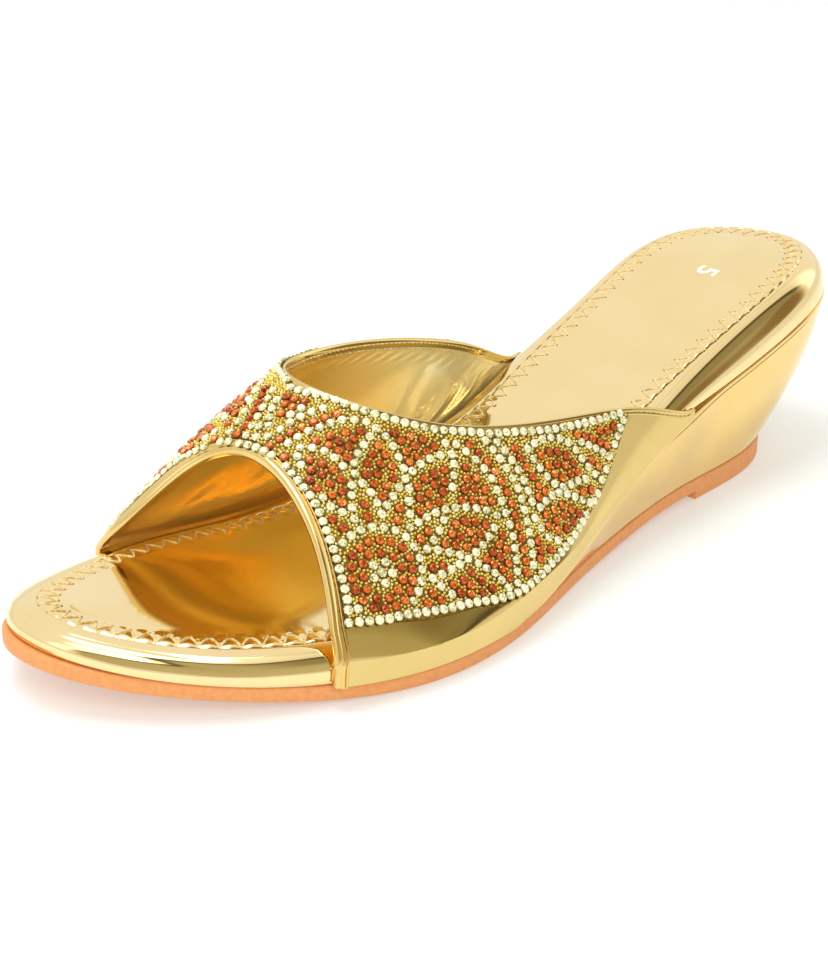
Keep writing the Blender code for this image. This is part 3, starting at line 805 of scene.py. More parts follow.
def footbed_piece():
    """Padded board: undercut, rim quarter round, groove, stitched band and crowned top."""
    station = pad_plan[:, 1]
    low = footbed_underside(station)
    side = footbed_top(station) - rim_depth(station)
    rings = [np.column_stack([inset(pad_plan, RIM_UNDERCUT), low])]
    for share in np.linspace(0.1, 1.0, SIDE_STEPS):
        streak = rim_streaks((share - 1.0) * (side - low), pad_phase, station)
        ring = inset(pad_plan, RIM_UNDERCUT * (1.0 - share) ** 3 + streak)
        rings.append(np.column_stack([ring, low + (side - low) * share]))
    rim = RIM_ROUND * (1.0 - np.cos(np.radians(np.linspace(*ROUND_TURN, ROUND_STEPS))))
    smooth_band = np.linspace(rim[-1], SMOOTH_END, 4)[1:]
    stitched_band = np.arange(*STITCHED, STITCHED_STEP)
    for distance in np.concatenate([rim, smooth_band, stitched_band, [BAND_END]]):
        streak = rim_streaks(distance, pad_phase, station)
        ring = sock_points(inset(pad_plan, distance + streak), np.full(len(pad_plan), distance), pad_phase)
        ring[:, 2] -= streak
        rings.append(ring)
    points, faces = ring_stack(rings)
    half = len(pad_plan) // 2
    rungs = len(faces) - 2 * (half - 1)
    faces = faces[:rungs] + faces[rungs::2]
    share = np.linspace(0.0, 1.0, TOP_STEPS + 1)[None, :]
    edge = inset(pad_plan, BAND_END)
    top = between(edge[:half, None], edge[::-1][:half, None], share[..., None])
    lift = between(rings[-1][:half, 2, None], rings[-1][::-1][:half, 2, None], share)
    swell = SOCK_CROWN * 4.0 * share * (1.0 - share)
    edge_top = footbed_top(edge[:, 1])
    straight = between(edge_top[:half, None], edge_top[::-1][:half, None], share)
    bend = footbed_top(top[..., 1]) - straight
    top = np.concatenate([top, (lift + swell + bend)[..., None]], axis=-1)
    top_faces = grid_faces(half, TOP_STEPS + 1) + len(points)
    points = np.concatenate([points, top.reshape(-1, 3)])
    return points, faces + top_faces.tolist()


points, faces = footbed_piece()
footbed = make_piece("footbed_pad", points + SHIFT, faces, film_sock)
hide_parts("footbed")

# %% [markdown]
# ## The size number
# The size is stamped on the heel of the sock in white foil. It could be a picture laid on the
# film, but a foil print has an edge and a thickness, so it is built: a plain numeral from the
# built-in letters, made a thin mesh and laid down on the sock, point by point.

# %% Size number
FOIL = 0.00003                # half the thickness of the foil
NUMBER_HEIGHT = 0.0088        # size of the type
NUMBER_PLACE = (0.0018, 0.2098)
NUMBER_BOLD = 0.00012         # its strokes are this much fuller than the built-in letter's
ABOVE = 0.2                   # rays are sent down on to the sock from this height
letters = bpy.data.curves.new("size_number", "FONT")
letters.body = "5"
letters.size = NUMBER_HEIGHT
letters.extrude = FOIL
letters.offset = NUMBER_BOLD
letters.resolution_u = 5
letters.align_x = "CENTER"
letters.align_y = "CENTER"
holder = bpy.data.objects.new("size_number_letters", letters)
drawn = bmesh.new()
drawn.from_mesh(bpy.data.meshes.new_from_object(holder))
bmesh.ops.remove_doubles(drawn, verts=drawn.verts, dist=1e-7)
bmesh.ops.recalc_face_normals(drawn, faces=drawn.faces)
flat = np.array([corner.co[:] for corner in drawn.verts])
number_faces = [tuple(corner.index for corner in face.verts) for face in drawn.faces]
drawn.free()
bpy.data.objects.remove(holder)
sock_tree = BVHTree.FromPolygons([tuple(point) for point in points], [tuple(face) for face in faces])
number = np.column_stack([NUMBER_PLACE[0] + flat[:, 1], NUMBER_PLACE[1] - flat[:, 0], flat[:, 2]])
for corner in number:
    below, _, _, _ = sock_tree.ray_cast(Vector((corner[0], corner[1], ABOVE)), Vector((0.0, 0.0, -1.0)))
    corner[2] += below.z
foil, foil_shader = new_finish("foil_print", (0.96, 0.95, 0.93), 0.35, 0.2)
tinted(foil, foil_shader, noise(foil, 900.0, 4.0), "Fac", (0.86, 0.84, 0.80), (1.0, 1.0, 1.0))
bumps(foil, foil_shader, (noise(foil, 1600.0, 2.0), "Fac", 0.00001))
make_piece("size_number", number + SHIFT, number_faces, foil)

# %% [markdown]
# ## Thread
# A machine stitch is a short length of thread that dives into a needle hole at each end. Each one
# here is a six-sided tube on a flat arch between two holes, all of them joined in one mesh. The
# foam pushes the two legs of a zigzag apart, so that each pair looks like a small rounded arch.

# %% Stitch tubes
THREAD = 0.00046              # thread diameter
ZIGZAG_LIFT = 0.0005          # height of a zigzag leg over the sock
ZIGZAG_BOW = 0.00034          # the foam bows each leg sideways by this much
HOLE_WIDTH = 0.00036          # radius of a needle hole's dimple, painted dark as its shade
HOLE_DEPTH = 0.0002
HOLE_RAISE = (0.0, 0.0, 0.00008)    # the dimple's rim lies this much over the film


def stitches(starts, ends, ups, lift=0.0003, diameter=THREAD, sag=None, steps=8, sides=6):
    """Tubes from start to end: a straight line, plus lift times the root of a parabola along up,
    plus sag times the parabola."""
    t = np.linspace(0.0, 1.0, steps)
    arc = np.sqrt(np.clip(4.0 * t * (1.0 - t), 0.0, None))
    line = starts[:, None] + (ends - starts)[:, None] * t[None, :, None]
    line = line + ups[:, None] * (lift * arc - 0.4 * diameter)[None, :, None]
    if sag is not None:
        line = line + sag[:, None] * (4.0 * t * (1.0 - t))[None, :, None]
    along = np.gradient(line, axis=1)
    along /= np.linalg.norm(along, axis=-1, keepdims=True)
    across = np.cross(along, ups[:, None])
    across /= np.linalg.norm(across, axis=-1, keepdims=True)
    over = np.cross(across, along)
    angle = np.linspace(0.0, 2.0 * np.pi, sides, endpoint=False)
    circle = np.cos(angle)[:, None, None, None] * across + np.sin(angle)[:, None, None, None] * over
    points = np.moveaxis(line + circle * diameter / 2.0, 0, 2)
    start = np.arange(len(starts)) * steps * sides
    one = grid_faces(steps, sides, join_columns=True)
    faces = (one[None] + start[:, None, None]).reshape(-1, 4).tolist()
    faces += (start[:, None] + np.arange(sides)[::-1]).tolist()
    faces += (start[:, None] + (steps - 1) * sides + np.arange(sides)).tolist()
    return points.reshape(-1, 3), faces


def holes(places, ups, radius, depth):
    """Small dimples, dark with painted shade: a six-sided disc a little above each place with its middle
    pushed in.
    """
    turn = np.linspace(0.0, 2.0 * np.pi, 6, endpoint=False)
    rim = np.column_stack([np.cos(turn), np.sin(turn), np.zeros(6)])
    # the under side is narrower and deeper, which closes the dimple
    shape = np.vstack([rim, (0.0, 0.0, -depth / radius), rim * 0.7 - (0.0, 0.0, 1.6 * depth / radius)])
    faces = [(k, (k + 1) % 6, 6) for k in range(6)]
    faces += [((k + 1) % 6, k, 7 + k, 7 + (k + 1) % 6) for k in range(6)] + [tuple(range(12, 6, -1))]
    side = np.cross(ups, (0.0, 1.0, 0.0))
    side /= np.linalg.norm(side, axis=1)[:, None]
    axes = np.stack([side, np.cross(ups, side), ups], axis=1)
    return copies(shape, faces, places, axes, np.full((len(places), 3), radius))


def along_groove(distance, phases):
    """Places on the footbed at that distance in from the rim and those counts of stitches round."""
    ring = inset(pad_plan, distance)
    where = np.mod(phases, STITCH_COUNT)
    plan = np.column_stack([np.interp(where, pad_phase, ring[:, k], period=STITCH_COUNT) for k in (0, 1)])
    return sock_points(plan, np.full(len(plan), distance), where) + SHIFT


count = np.arange(STITCH_COUNT)
outer_holes = along_groove(GROOVE_IN - 0.0001, count)
inner_holes = along_groove(STITCH_IN, count + 0.5)
next_holes = np.roll(outer_holes, -1, axis=0)
sideways = next_holes - outer_holes
sideways /= np.linalg.norm(sideways, axis=1)[:, None]
up = np.tile((0.0, 0.0, 1.0), (2 * STITCH_COUNT, 1))
starts = np.concatenate([outer_holes, inner_holes])
ends = np.concatenate([inner_holes, next_holes])
bows = np.concatenate([-sideways, sideways]) * ZIGZAG_BOW
points, faces = stitches(starts, ends, up, lift=ZIGZAG_LIFT, sag=bows)
make_piece("sock_zigzag", points, faces, gold_thread)
dimples = np.concatenate([inner_holes, outer_holes]) + HOLE_RAISE
points, faces = holes(dimples, up, HOLE_WIDTH, HOLE_DEPTH)
make_piece("sock_needle_holes", points, faces, needle_hole_shade)
print("zigzag stitches:", 2 * STITCH_COUNT)

# %% [markdown]
# ## The strap
# Outside film and lining are two skins over the same last. The outside one rolls over the topline
# and laps down inside, so each is worked out as a closed profile carried across the foot.

# %% Strap skins
OUTER_WALL = 0.0007           # outside film with its board, without the lining
FOLD = 0.0030                 # the outside film laps this far down inside the topline


def across_steps(count, skirt=6):
    """Steps over the strap, evenly over the arch, with a few down each skirt."""
    down = np.linspace(-1.0, 0.0, skirt + 1)[:-1]
    return np.concatenate([down, np.linspace(0.0, 1.0, count + 1), 1.0 - down[::-1]])


def band(across, profile, relief=None):
    """Closed profile carried across the strap.

    profile lists (share, distance, outward): the share of the way from front edge to topline,
    a distance along the skin from there, and how far outside the skin. relief adds to outward.
    """
    front = strap_front(across)
    back = strap_back(np.clip(across, 0.0, 1.0))
    lines = []
    for share, distance, outward in profile:
        y = stepped(front + (back - front) * share, across, distance)
        if relief is not None:
            outward = outward + relief(y, across, share)
        lines.append(skin(y, across, outward))
    faces = grid_faces(len(lines), len(across), join_rows=True).tolist()
    count = len(across)
    faces.append(tuple(k * count for k in range(len(lines)))[::-1])
    faces.append(tuple(k * count + count - 1 for k in range(len(lines))))
    return np.stack(lines), faces


ACROSS = across_steps(300)
TOPLINE = STRAP_WALL / 2.0    # radius of the rolled topline
HEM = 0.0027                  # the turned-in topline is doubled for this far, and stitched there
HEM_STEP = 0.00016            # the doubled film stands this much proud
HEM_SEAM = 0.0019             # its stitches lie this far in from the topline
SEAM_DIP = 0.0001             # and dent the film by this much
# the profile's sides in turn: the plain outside, the step up on to the hem, the hem with its
# seam, the roll over the topline, the lap down inside, and back to the front edge under the film
outside = [(v, -TOPLINE * v, 0.0) for v in np.linspace(0.0, 0.9, 50)]
outside += [(1.0, -d, 0.0) for d in np.linspace(HEM + 0.0009, HEM + 0.0002, 4)]
outside += [(1.0, -d, h) for d, h in ((HEM, HEM_STEP * 0.7), (HEM - 0.0002, HEM_STEP))]
outside += [(1.0, -d, HEM_STEP - SEAM_DIP * bell(d, HEM_SEAM, 0.0003))
            for d in np.linspace(HEM - 0.0004, TOPLINE + 0.0001, 10)]
roll = [(1.0, -TOPLINE + TOPLINE * np.sin(a), -TOPLINE + (TOPLINE + HEM_STEP * (a < 1.0)) * np.cos(a))
        for a in np.linspace(0.25, np.pi - 0.3, 8)]
lap = [(1.0, -d, -STRAP_WALL) for d in np.linspace(TOPLINE, FOLD, 4)]
under = [(1.0, -FOLD, -OUTER_WALL)] + [(v, -FOLD * v, -OUTER_WALL) for v in np.linspace(0.97, 0.0, 20)]
grid, faces = band(ACROSS, outside + roll + lap + under)
strap = make_piece("strap_outside", grid, faces, film_strap)
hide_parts("upper")

# %% [markdown]
# ## The lining
# The lining film is thin and bends one way only, so where it lies round the inside of the arch it
# buckles into soft folds. Each fold is given as a long bell-shaped ridge or trough.

# %% Lining with its folds
# start and end of a fold as (millimetres from the toe tip, share across), half width and height, mm
LINING_FOLDS = (
    ((112, .955), (127, .890), 1.0, 0.52),
    ((117, .965), (133, .895), 0.7, -0.34),
    ((121, .970), (138, .895), 1.0, 0.60),
    ((127, .975), (143, .905), 0.7, -0.36),
    ((131, .980), (149, .915), 1.0, 0.52),
    ((138, .985), (154, .930), 0.8, 0.30),
    ((108, .930), (124, .850), 1.2, 0.22),
    ((118, .900), (134, .820), 1.1, -0.18),
    ((44, .950), (82, .800), 1.8, 0.10),
    ((50, .955), (92, .830), 1.4, -0.08),
    ((46, .900), (78, .740), 1.9, 0.09),
    ((52, .850), (80, .700), 1.7, -0.07),
    ((64, .950), (100, .860), 1.6, 0.09),
    ((70, .120), (104, .190), 1.6, 0.16),
    ((96, .110), (128, .150), 1.4, -0.16),
    ((112, .060), (146, .090), 1.2, 0.24),
)
LINING_HUG = 0.0016           # low down, the lining is pulled in over the footbed's rim by this much
RIB = 0.00016                 # the topline's seams gather the lining into ribs this high
RIB_PITCH = 0.0014
RIB_ROW = 0.0075              # middle of the ribbed band, in from the topline
RIB_HALF = 0.0026
FOLD_BOW = 0.0012             # a fold is bowed sideways by this much at its middle
EDGE_CALM = (0.12, 0.10)      # shares of the way back, from the front edge and from the topline,
                              # over which the relief sets in
BASE_CALM = 0.02              # the same, as a share across from each base
HUG_REACH = 0.17              # the hug is strongest halfway to this share across


def lining_relief(y, across, share):
    """Sum of the folds: each a bell across its own line, fading at both ends, nothing at the edges."""
    place = np.stack([y, across * ARCH_WIDTH], axis=-1)
    total = 0.0 * across
    for start, end, width, height in LINING_FOLDS:
        a = np.array((start[0] * MM, start[1] * ARCH_WIDTH))
        line = np.array((end[0] * MM, end[1] * ARCH_WIDTH)) - a
        length = np.linalg.norm(line)
        along = (place - a) @ line / length
        aside = (place - a) @ np.array((-line[1], line[0])) / length
        aside = aside - FOLD_BOW * np.sin(along / length * np.pi)
        total = total - height * MM * bell(along / length, 0.5, 0.33, 4) * bell(aside, 0.0, width * MM)
    edge = np.clip(share / EDGE_CALM[0], 0.0, 1.0) * np.clip((1.0 - share) / EDGE_CALM[1], 0.0, 1.0)
    inward = strap_back(np.clip(across, 0.0, 1.0)) - y
    ribs = np.cos(2.0 * np.pi * across * ARCH_WIDTH / RIB_PITCH) * bell(inward, RIB_ROW, RIB_HALF, 4)
    total = total - RIB * ribs
    side = np.clip(np.minimum(across, 1.0 - across), 0.0, 0.5)
    hug = LINING_HUG * np.sin(np.pi * np.clip(side / HUG_REACH, 0.0, 1.0)) ** 2
    return (total * np.clip(side / BASE_CALM, 0.0, 1.0) - hug) * edge


LINING_SHARE = FOLD + 0.0003
AMBER_UNTIL = 0.093           # the lining is warm amber up to this station, under the toes, partly its own colour and partly painted light
AMBER_FADE = 0.030            # and pale gold this much further back
AMBER_PATCHES = 0.08          # unevenness of that change, as a share of it
lining_out = [(v, -LINING_SHARE * v, -OUTER_WALL - 0.0001) for v in np.linspace(0.0, 1.0, 16)]
lining_in = [(v, -LINING_SHARE * v, -STRAP_WALL) for v in np.linspace(1.0, 0.0, 100)]
outer, _ = band(ACROSS, lining_out)
inner, _ = band(ACROSS, lining_in, lining_relief)
faces = grid_faces(len(outer) + len(inner), len(ACROSS), join_rows=True).tolist()
rows = np.arange(len(outer) + len(inner)) * len(ACROSS)
faces += [rows[::-1].tolist(), (rows + len(ACROSS) - 1).tolist()]
lining_points = np.concatenate([outer, inner])
station = (lining_points[..., 1] - SHIFT[1]).ravel()
patches = waves(lining_points.reshape(-1, 3), AMBER_PATCHES)
lining_colour_and_painted_light = np.clip((station - AMBER_UNTIL) / AMBER_FADE + patches, 0.0, 1.0)
make_piece("strap_lining", lining_points, faces, film_lining, tint=lining_colour_and_painted_light)

# %% [markdown]
# ## The front edge
# A narrow tape is folded over the cut front edge and sewn along its middle. The seam pulls it
# down, which leaves two soft ridges with a line of stitches between them.

# %% Front binding
TAPE = 0.0017
TAPE_HEIGHT = 0.00078
SEAM_PULL = 0.78              # the seam takes away this share of the height
TAPE_SEAM = 0.52              # place of the seam, share of the tape's width


def tape_ridge(t):
    """Root of a half sine, cut by a bell at the seam: two ridges over the tape's width."""
    return np.sqrt(np.sin(np.pi * t)) * (1.0 - SEAM_PULL * bell(t, TAPE_SEAM, 0.10))


# over the outside, round the cut edge, back along the inside, and along the strap itself
tape_profile = [(0.0, TAPE * t, GAP * 0.3 + TAPE_HEIGHT * tape_ridge(t)) for t in np.linspace(0.98, 0.02, 22)]
tape_profile += [(0.0, -0.0004 - 0.0004 * np.sin(a), -STRAP_WALL / 2 + (STRAP_WALL / 2 + 0.0003) * np.cos(a))
                 for a in np.linspace(0.0, np.pi, 9)]
tape_profile += [(0.0, TAPE * t, -STRAP_WALL - 0.0002) for t in np.linspace(0.2, 1.0, 5)]
tape_profile += [(0.0, TAPE, -STRAP_WALL + 0.0001), (0.0, 0.0001, -STRAP_WALL + 0.0001),
                 (0.0, 0.0001, 0.0), (0.0, TAPE, 0.0)]
grid, faces = band(ACROSS, tape_profile)
binding = make_piece("front_tape", grid, faces, film_tape)
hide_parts("front_binding")

# %% Rows of straight stitches on the strap
STITCH_GAP = 0.0004           # the thread is under the film for this far between two stitches


def row_on_strap(edge, distance, outward, pitch, low=0.004, high=0.996):
    """Ends and outward arrows of stitches along an edge of the strap, distance in from it.

    Fine steps across the foot are measured, and places are taken at even lengths along them.
    """
    fine = np.linspace(low, high, 1500)
    y = stepped(edge(fine), fine, distance)
    line, _, _, out = skin_frame(y, fine, np.full(len(fine), outward))
    length = np.concatenate([[0.0], np.cumsum(np.linalg.norm(np.diff(line, axis=0), axis=1))])
    number = int(length[-1] / pitch)
    at = np.arange(number) * pitch

    def taken(values, where):
        return np.column_stack([np.interp(where, length, values[:, k]) for k in range(3)])

    ups = taken(out, at + pitch / 2.0)
    return taken(line, at), taken(line, at + pitch - STITCH_GAP), ups / np.linalg.norm(ups, axis=1)[:, None]


def sewn_row(name, finish, rows, diameter, lift):
    """One piece from rows of stitches."""
    starts, ends, ups = (np.concatenate(part) for part in zip(*rows))
    points, faces = stitches(starts, ends, ups, lift=lift, diameter=diameter, steps=5, sides=5)
    return make_piece(name, points, faces, finish)


seam_height = GAP * 0.3 + TAPE_HEIGHT * (1.0 - SEAM_PULL)
tape_seam = row_on_strap(strap_front, TAPE * TAPE_SEAM, seam_height, pitch=0.0019)
sewn_row("tape_stitches", gold_thread, [tape_seam], diameter=0.00030, lift=0.00012)
tape_foot = row_on_strap(strap_front, TAPE + 0.00012, 0.0001, pitch=0.0017)
sewn_row("tape_foot_stitches", dark_thread, [tape_foot], diameter=0.00026, lift=0.00008)
hem_seam = row_on_strap(strap_back, -HEM_SEAM, HEM_STEP - SEAM_DIP, pitch=0.0017)
sewn_row("topline_stitches", dark_thread, [hem_seam], diameter=0.00030, lift=0.00008)


def inside_row(edge, distance, pitch):
    """A row on the inside of the strap: the arrows point into the arch."""
    starts, ends, ups = row_on_strap(edge, distance, -STRAP_WALL - 0.00004, pitch, 0.03, 0.97)
    return starts, ends, -ups


LINING_ROWS = (0.0022, 0.0052)      # the two rows inside, in from the topline
lining_rows = [inside_row(strap_back, -inward, pitch=0.0014) for inward in LINING_ROWS]
sewn_row("lining_stitches", gold_thread, lining_rows, diameter=0.00036, lift=0.00014)

# %% [markdown]
# ## The beaded overlay
# Cloth backing, glued to the strap, with cut stones along drawn lines and seed beads packed in
# between. The backing is a thin shell between two swollen copies of the skin.

# %% Backing of the overlay
BACKING_WALL = 0.0004
PANEL_ROWS = 80               # points from the overlay's front edge to its back edge
PANEL_FINE = 200              # points across it
BACKING_FOOT = PANEL_GAP * 0.25     # the backing lies this far off the strap
panel_lateral = table_line(PANEL_EDGES, PANEL_COLUMNS, "along", "lateral")
panel_medial = table_line(PANEL_EDGES, PANEL_COLUMNS, "along", "medial")


def panel_y(along, across):
    """Station of a share along the overlay, from its front edge to its back edge."""
    front = stepped(strap_front(across), across, PANEL_FRONT)
    back = stepped(strap_back(across), across, -PANEL_BACK)
    return front + (back - front) * along


def panel_grid(rows, columns, outward):
    along = np.linspace(0.0, 1.0, rows)[:, None]
    share = np.linspace(0.0, 1.0, columns)[None, :]
    near = panel_lateral(along)
    across = near + (1.0 - panel_medial(along) - near) * share
    return skin(panel_y(along, across), across, outward)


def thin_shell(outer, inner):
    """Closed wall between two matching grids, outer face first."""
    rows, columns = outer.shape[:2]
    count = rows * columns
    points = np.concatenate([outer.reshape(-1, 3), inner.reshape(-1, 3)])
    upper = grid_faces(rows, columns)
    faces = upper.tolist() + (upper[:, ::-1] + count).tolist()
    edge = list(range(columns))
    edge += [i * columns + columns - 1 for i in range(1, rows)]
    edge += [(rows - 1) * columns + j for j in range(columns - 2, -1, -1)]
    edge += [i * columns for i in range(rows - 2, 0, -1)]
    faces += [(b, a, count + a, count + b) for a, b in zip(edge, edge[1:] + edge[:1])]
    return points, faces


outer_face = panel_grid(PANEL_ROWS, PANEL_FINE, BACKING_FOOT + BACKING_WALL)
inner_face = panel_grid(PANEL_ROWS, PANEL_FINE, BACKING_FOOT)
points, faces = thin_shell(outer_face, inner_face)
panel = make_piece("bead_backing", points, faces, backing)
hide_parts("bead_panel")

# %% [markdown]
# ## The pattern of the stones
# A bead worker sews from a drawing: lines of cream stones outline leaves, petals and a rosette,
# amber stones fill them, and seed beads fill the ground. The chart is that drawing. Each run
# says what stone it is, how many there are, and the line they follow over the near half of the
# overlay, as millimetres from the toe tip and the share across. The far half mirrors it.

# %% Chart of the stones
PATTERN_MIDDLE = 0.475        # share across where the pattern's two halves meet
FAR_STRETCH = 1.122           # the far half is this much wider across
SIDE_RUNS = (
    # rosette: two rings, its heart, and its outline
    ("amber", 18, (57, .233), (62, .241), (67, .229), (69, .205), (66.6, .172), (62.3, .147),
     (56.8, .142), (53.8, .165), (54, .200), (57, .233)),
    ("amber", 11, (58, .217), (61, .226), (65.5, .212), (66, .195), (64.5, .178), (59, .157),
     (55.8, .178), (58, .217)),
    ("cream", 2, (60, .210), (63, .209)),
    ("cream", 3, (58.7, .193), (61, .197), (63.2, .192)),
    ("cream", 1, (60.5, .181)),
    ("cream", 13, (56.7, .255), (61.9, .259), (67, .250), (70.8, .229), (71.3, .200), (68.9, .171),
     (64.6, .144)),
    ("cream", 1, (52, .152)),
    # petal behind the rosette
    ("amber", 5, (82, .206), (84, .212), (86.6, .208), (89.1, .199), (91.2, .188)),
    ("amber", 4, (79.1, .201), (81.5, .193), (84, .198), (86.5, .195)),
    ("amber", 3, (83.9, .183), (86.4, .182), (88.9, .184)),
    ("cream", 10, (72.8, .237), (78.7, .237), (83.9, .231), (89.3, .216), (93.6, .197), (95.1, .186)),
    ("cream", 4, (74.2, .206), (79.2, .217), (81.7, .224)),
    ("cream", 3, (76.6, .199), (79, .190), (81.3, .180)),
    ("cream", 9, (71.9, .169), (77.5, .170), (83.2, .170), (88.3, .172), (93, .178)),
    ("amber", 2, (73.9, .220), (76.7, .223)),
    ("amber", 2, (73.2, .182), (76, .178)),
    # low leaves between the rosette and the waist
    ("amber", 2, (70, .148), (67.5, .134)),
    ("amber", 1, (71.2, .134)),
    ("cream", 2, (72.9, .154), (74.5, .137)),
    ("amber", 3, (76.1, .149), (78.9, .148), (81.9, .152)),
    ("amber", 3, (76.9, .133), (81, .136), (83.6, .132)),
    ("amber", 3, (79.2, .123), (82, .114), (85.2, .110)),
    ("cream", 5, (84.7, .157), (86.4, .142), (88, .124), (89, .089)),
    ("amber", 4, (87.3, .154), (92.2, .157), (94.1, .163)),
    ("amber", 3, (88.5, .141), (91.1, .143), (93.5, .144)),
    ("amber", 2, (90.1, .126), (92.3, .126)),
    ("amber", 1, (90.7, .104)),
    # long curves that cross the side
    ("cream", 15, (91.3, .283), (94, .271), (97.6, .231), (98, .204), (97.3, .164), (95.6, .135),
     (92, .083)),
    ("amber", 13, (96.7, .262), (99, .235), (100.3, .207), (100.2, .182), (98.8, .141), (95.8, .086)),
    ("cream", 13, (101, .252), (102.5, .226), (103.4, .200), (103.3, .175), (101.5, .138), (98.5, .089)),
    ("cream", 7, (103.6, .241), (105.4, .213), (106, .188), (105.8, .162)),
    ("cream", 4, (104.7, .144), (105.2, .125), (106.2, .105), (108.5, .086)),
    ("amber", 3, (102.7, .115), (102.4, .100), (101.1, .087)),
    ("amber", 1, (105.3, .085)),
    ("amber", 5, (107.3, .221), (108.3, .195), (109.4, .168)),
    ("amber", 2, (108.2, .158), (110.5, .156)),
    # big leaves at the back of the side
    ("cream", 8, (107.3, .148), (112.5, .144), (117, .124), (122.6, .083)),
    ("amber", 3, (108.2, .133), (111.3, .128), (113.8, .122)),
    ("amber", 4, (107.5, .118), (110.4, .113), (116, .104)),
    ("amber", 4, (109.8, .099), (112.4, .088), (118, .087)),
    ("cream", 11, (110.6, .208), (116, .200), (121.5, .178), (124, .152), (125.9, .123), (128.8, .091)),
    ("cream", 8, (111, .195), (112.7, .167), (115.9, .140), (120.8, .127), (123.6, .117)),
    ("amber", 6, (113.5, .190), (118.7, .174), (121.6, .148), (122.1, .133)),
    ("amber", 4, (114.3, .175), (118.9, .157), (119.8, .142)),
    ("amber", 2, (115.1, .161), (117, .148)),
    ("amber", 2, (121.6, .107), (124.4, .096)),
    ("amber", 5, (125.7, .168), (129.7, .147), (133.6, .121)),
    ("amber", 3, (132.7, .145), (134.8, .136), (137.4, .131)),
    ("cream", 5, (126.2, .157), (129.9, .133), (133.3, .107)),
    ("amber", 2, (127.4, .128), (128.9, .112)),
    # three petals over the rosette
    ("amber", 4, (70.3, .313), (73, .325), (76.5, .331)),
    ("amber", 4, (70.6, .299), (74.5, .313), (76.8, .318)),
    ("amber", 4, (70.8, .282), (73, .290), (75.5, .293), (76.6, .304)),
    ("cream", 10, (68.3, .265), (68.8, .293), (68.1, .321), (71.5, .339), (78.4, .348)),
    ("cream", 9, (70.5, .271), (78, .284), (85.5, .284), (91.4, .270)),
    ("cream", 4, (79.2, .334), (79.5, .321), (78.9, .294)),
    ("amber", 2, (81.5, .330), (81.9, .318)),
    ("amber", 1, (84.3, .315)),
    ("amber", 3, (81.5, .306), (84, .304), (86.7, .303)),
    ("amber", 4, (81, .295), (88.4, .289)),
    ("amber", 4, (79.7, .269), (82.2, .271), (87.8, .264)),
    ("amber", 4, (78.7, .258), (81.4, .256), (84, .260), (86.5, .255)),
    ("amber", 4, (77.3, .247), (80.1, .246), (82.6, .242), (85, .248)),
    ("cream", 3, (74.5, .250), (75.8, .262), (77.5, .273)),
    ("cream", 3, (87.7, .245), (89.4, .253), (90.8, .261)),
    ("amber", 4, (93.2, .249), (91.8, .239), (88.4, .227)),
    ("amber", 3, (94.4, .233), (92.7, .226), (91, .219)),
    ("amber", 3, (93.3, .211), (95.1, .217), (95.5, .202)),
    ("amber", 2, (71, .250), (72.9, .261)),
    # front column of leaves
    ("amber", 2, (57.9, .289), (58.7, .272)),
    ("amber", 2, (66, .284), (65, .269)),
    ("cream", 1, (62, .275)),
    ("cream", 4, (59, .321), (59.2, .305), (60.7, .290), (63.1, .289)),
    ("cream", 2, (64.6, .302), (66, .312)),
    ("amber", 4, (62, .373), (60.9, .361), (59.2, .352), (59.3, .336)),
    ("amber", 5, (63.4, .357), (62, .346), (62.2, .331), (61, .316), (61.8, .301)),
    ("amber", 3, (64.6, .342), (64.7, .325), (63.3, .313)),
    ("cream", 4, (66.9, .338), (66.5, .353), (65.8, .368), (64.2, .384)),
    ("cream", 3, (62.3, .397), (60.6, .390), (59.9, .377)),
    # leaf under the topline
    ("amber", 1, (65.7, .388)),
    ("amber", 4, (68.8, .380), (67.2, .371), (68.2, .358), (68.9, .343)),
    ("amber", 2, (72, .369), (69.7, .366)),
    ("amber", 3, (75, .358), (72.7, .357), (70.7, .352)),
    ("cream", 5, (68.4, .399), (73.4, .385), (77.4, .362)),
    ("amber", 1, (58.5, .404)),
)
# Runs over the crown, which aren't mirrored.
CROWN_RUNS = (
    ("amber", 7, (58.3, .437), (63.3, .425), (68.3, .411), (73.2, .396)),
    ("cream", 3, (61.2, .416), (63.4, .412), (66, .407)),
    ("cream", 5, (62.4, .443), (67, .434), (71.9, .417)),
    ("amber", 3, (65.2, .464), (67.6, .457), (70.2, .448)),
    ("amber", 2, (67.4, .471), (69.4, .465)),
    ("amber", 1, (69, .481)),
    ("cream", 2, (66.2, .449), (68.7, .443)),
    ("cream", 4, (61.6, .464), (63.4, .478), (65.3, .487), (67.3, .492)),
    ("cream", 2, (59.6, .452), (58.2, .469)),
    ("cream", 1, (60.4, .480)),
    ("cream", 6, (57.5, .489), (61, .496), (65.5, .508), (69, .519)),
    ("amber", 7, (56.9, .509), (59, .505), (63, .516), (67, .532), (69, .543)),
    ("cream", 6, (56.8, .528), (59.5, .529), (63.5, .540), (67.5, .556), (70.5, .566)),
    ("amber", 4, (58.6, .551), (61, .556), (64, .566), (66.8, .579)),
    ("cream", 3, (57, .566), (59.4, .573), (61.6, .581)),
)
LOWER_LINE = ((48.8, .131), (56, .123), (61, .124), (68.7, .119), (76.5, .111), (81, .099), (86.5, .076),
              (91.3, .058), (97, .051), (103.5, .054), (112, .060), (117.5, .067), (125.3, .079),
              (129, .090), (133, .102), (137, .115), (141, .125))
FRONT_LINE = ((50, .155), (51.2, .181), (52.7, .219), (54.3, .255), (55.6, .288), (56.9, .320),
              (57.2, .354), (57.3, .388), (57.2, .420), (56.5, .455), (55.4, .490))
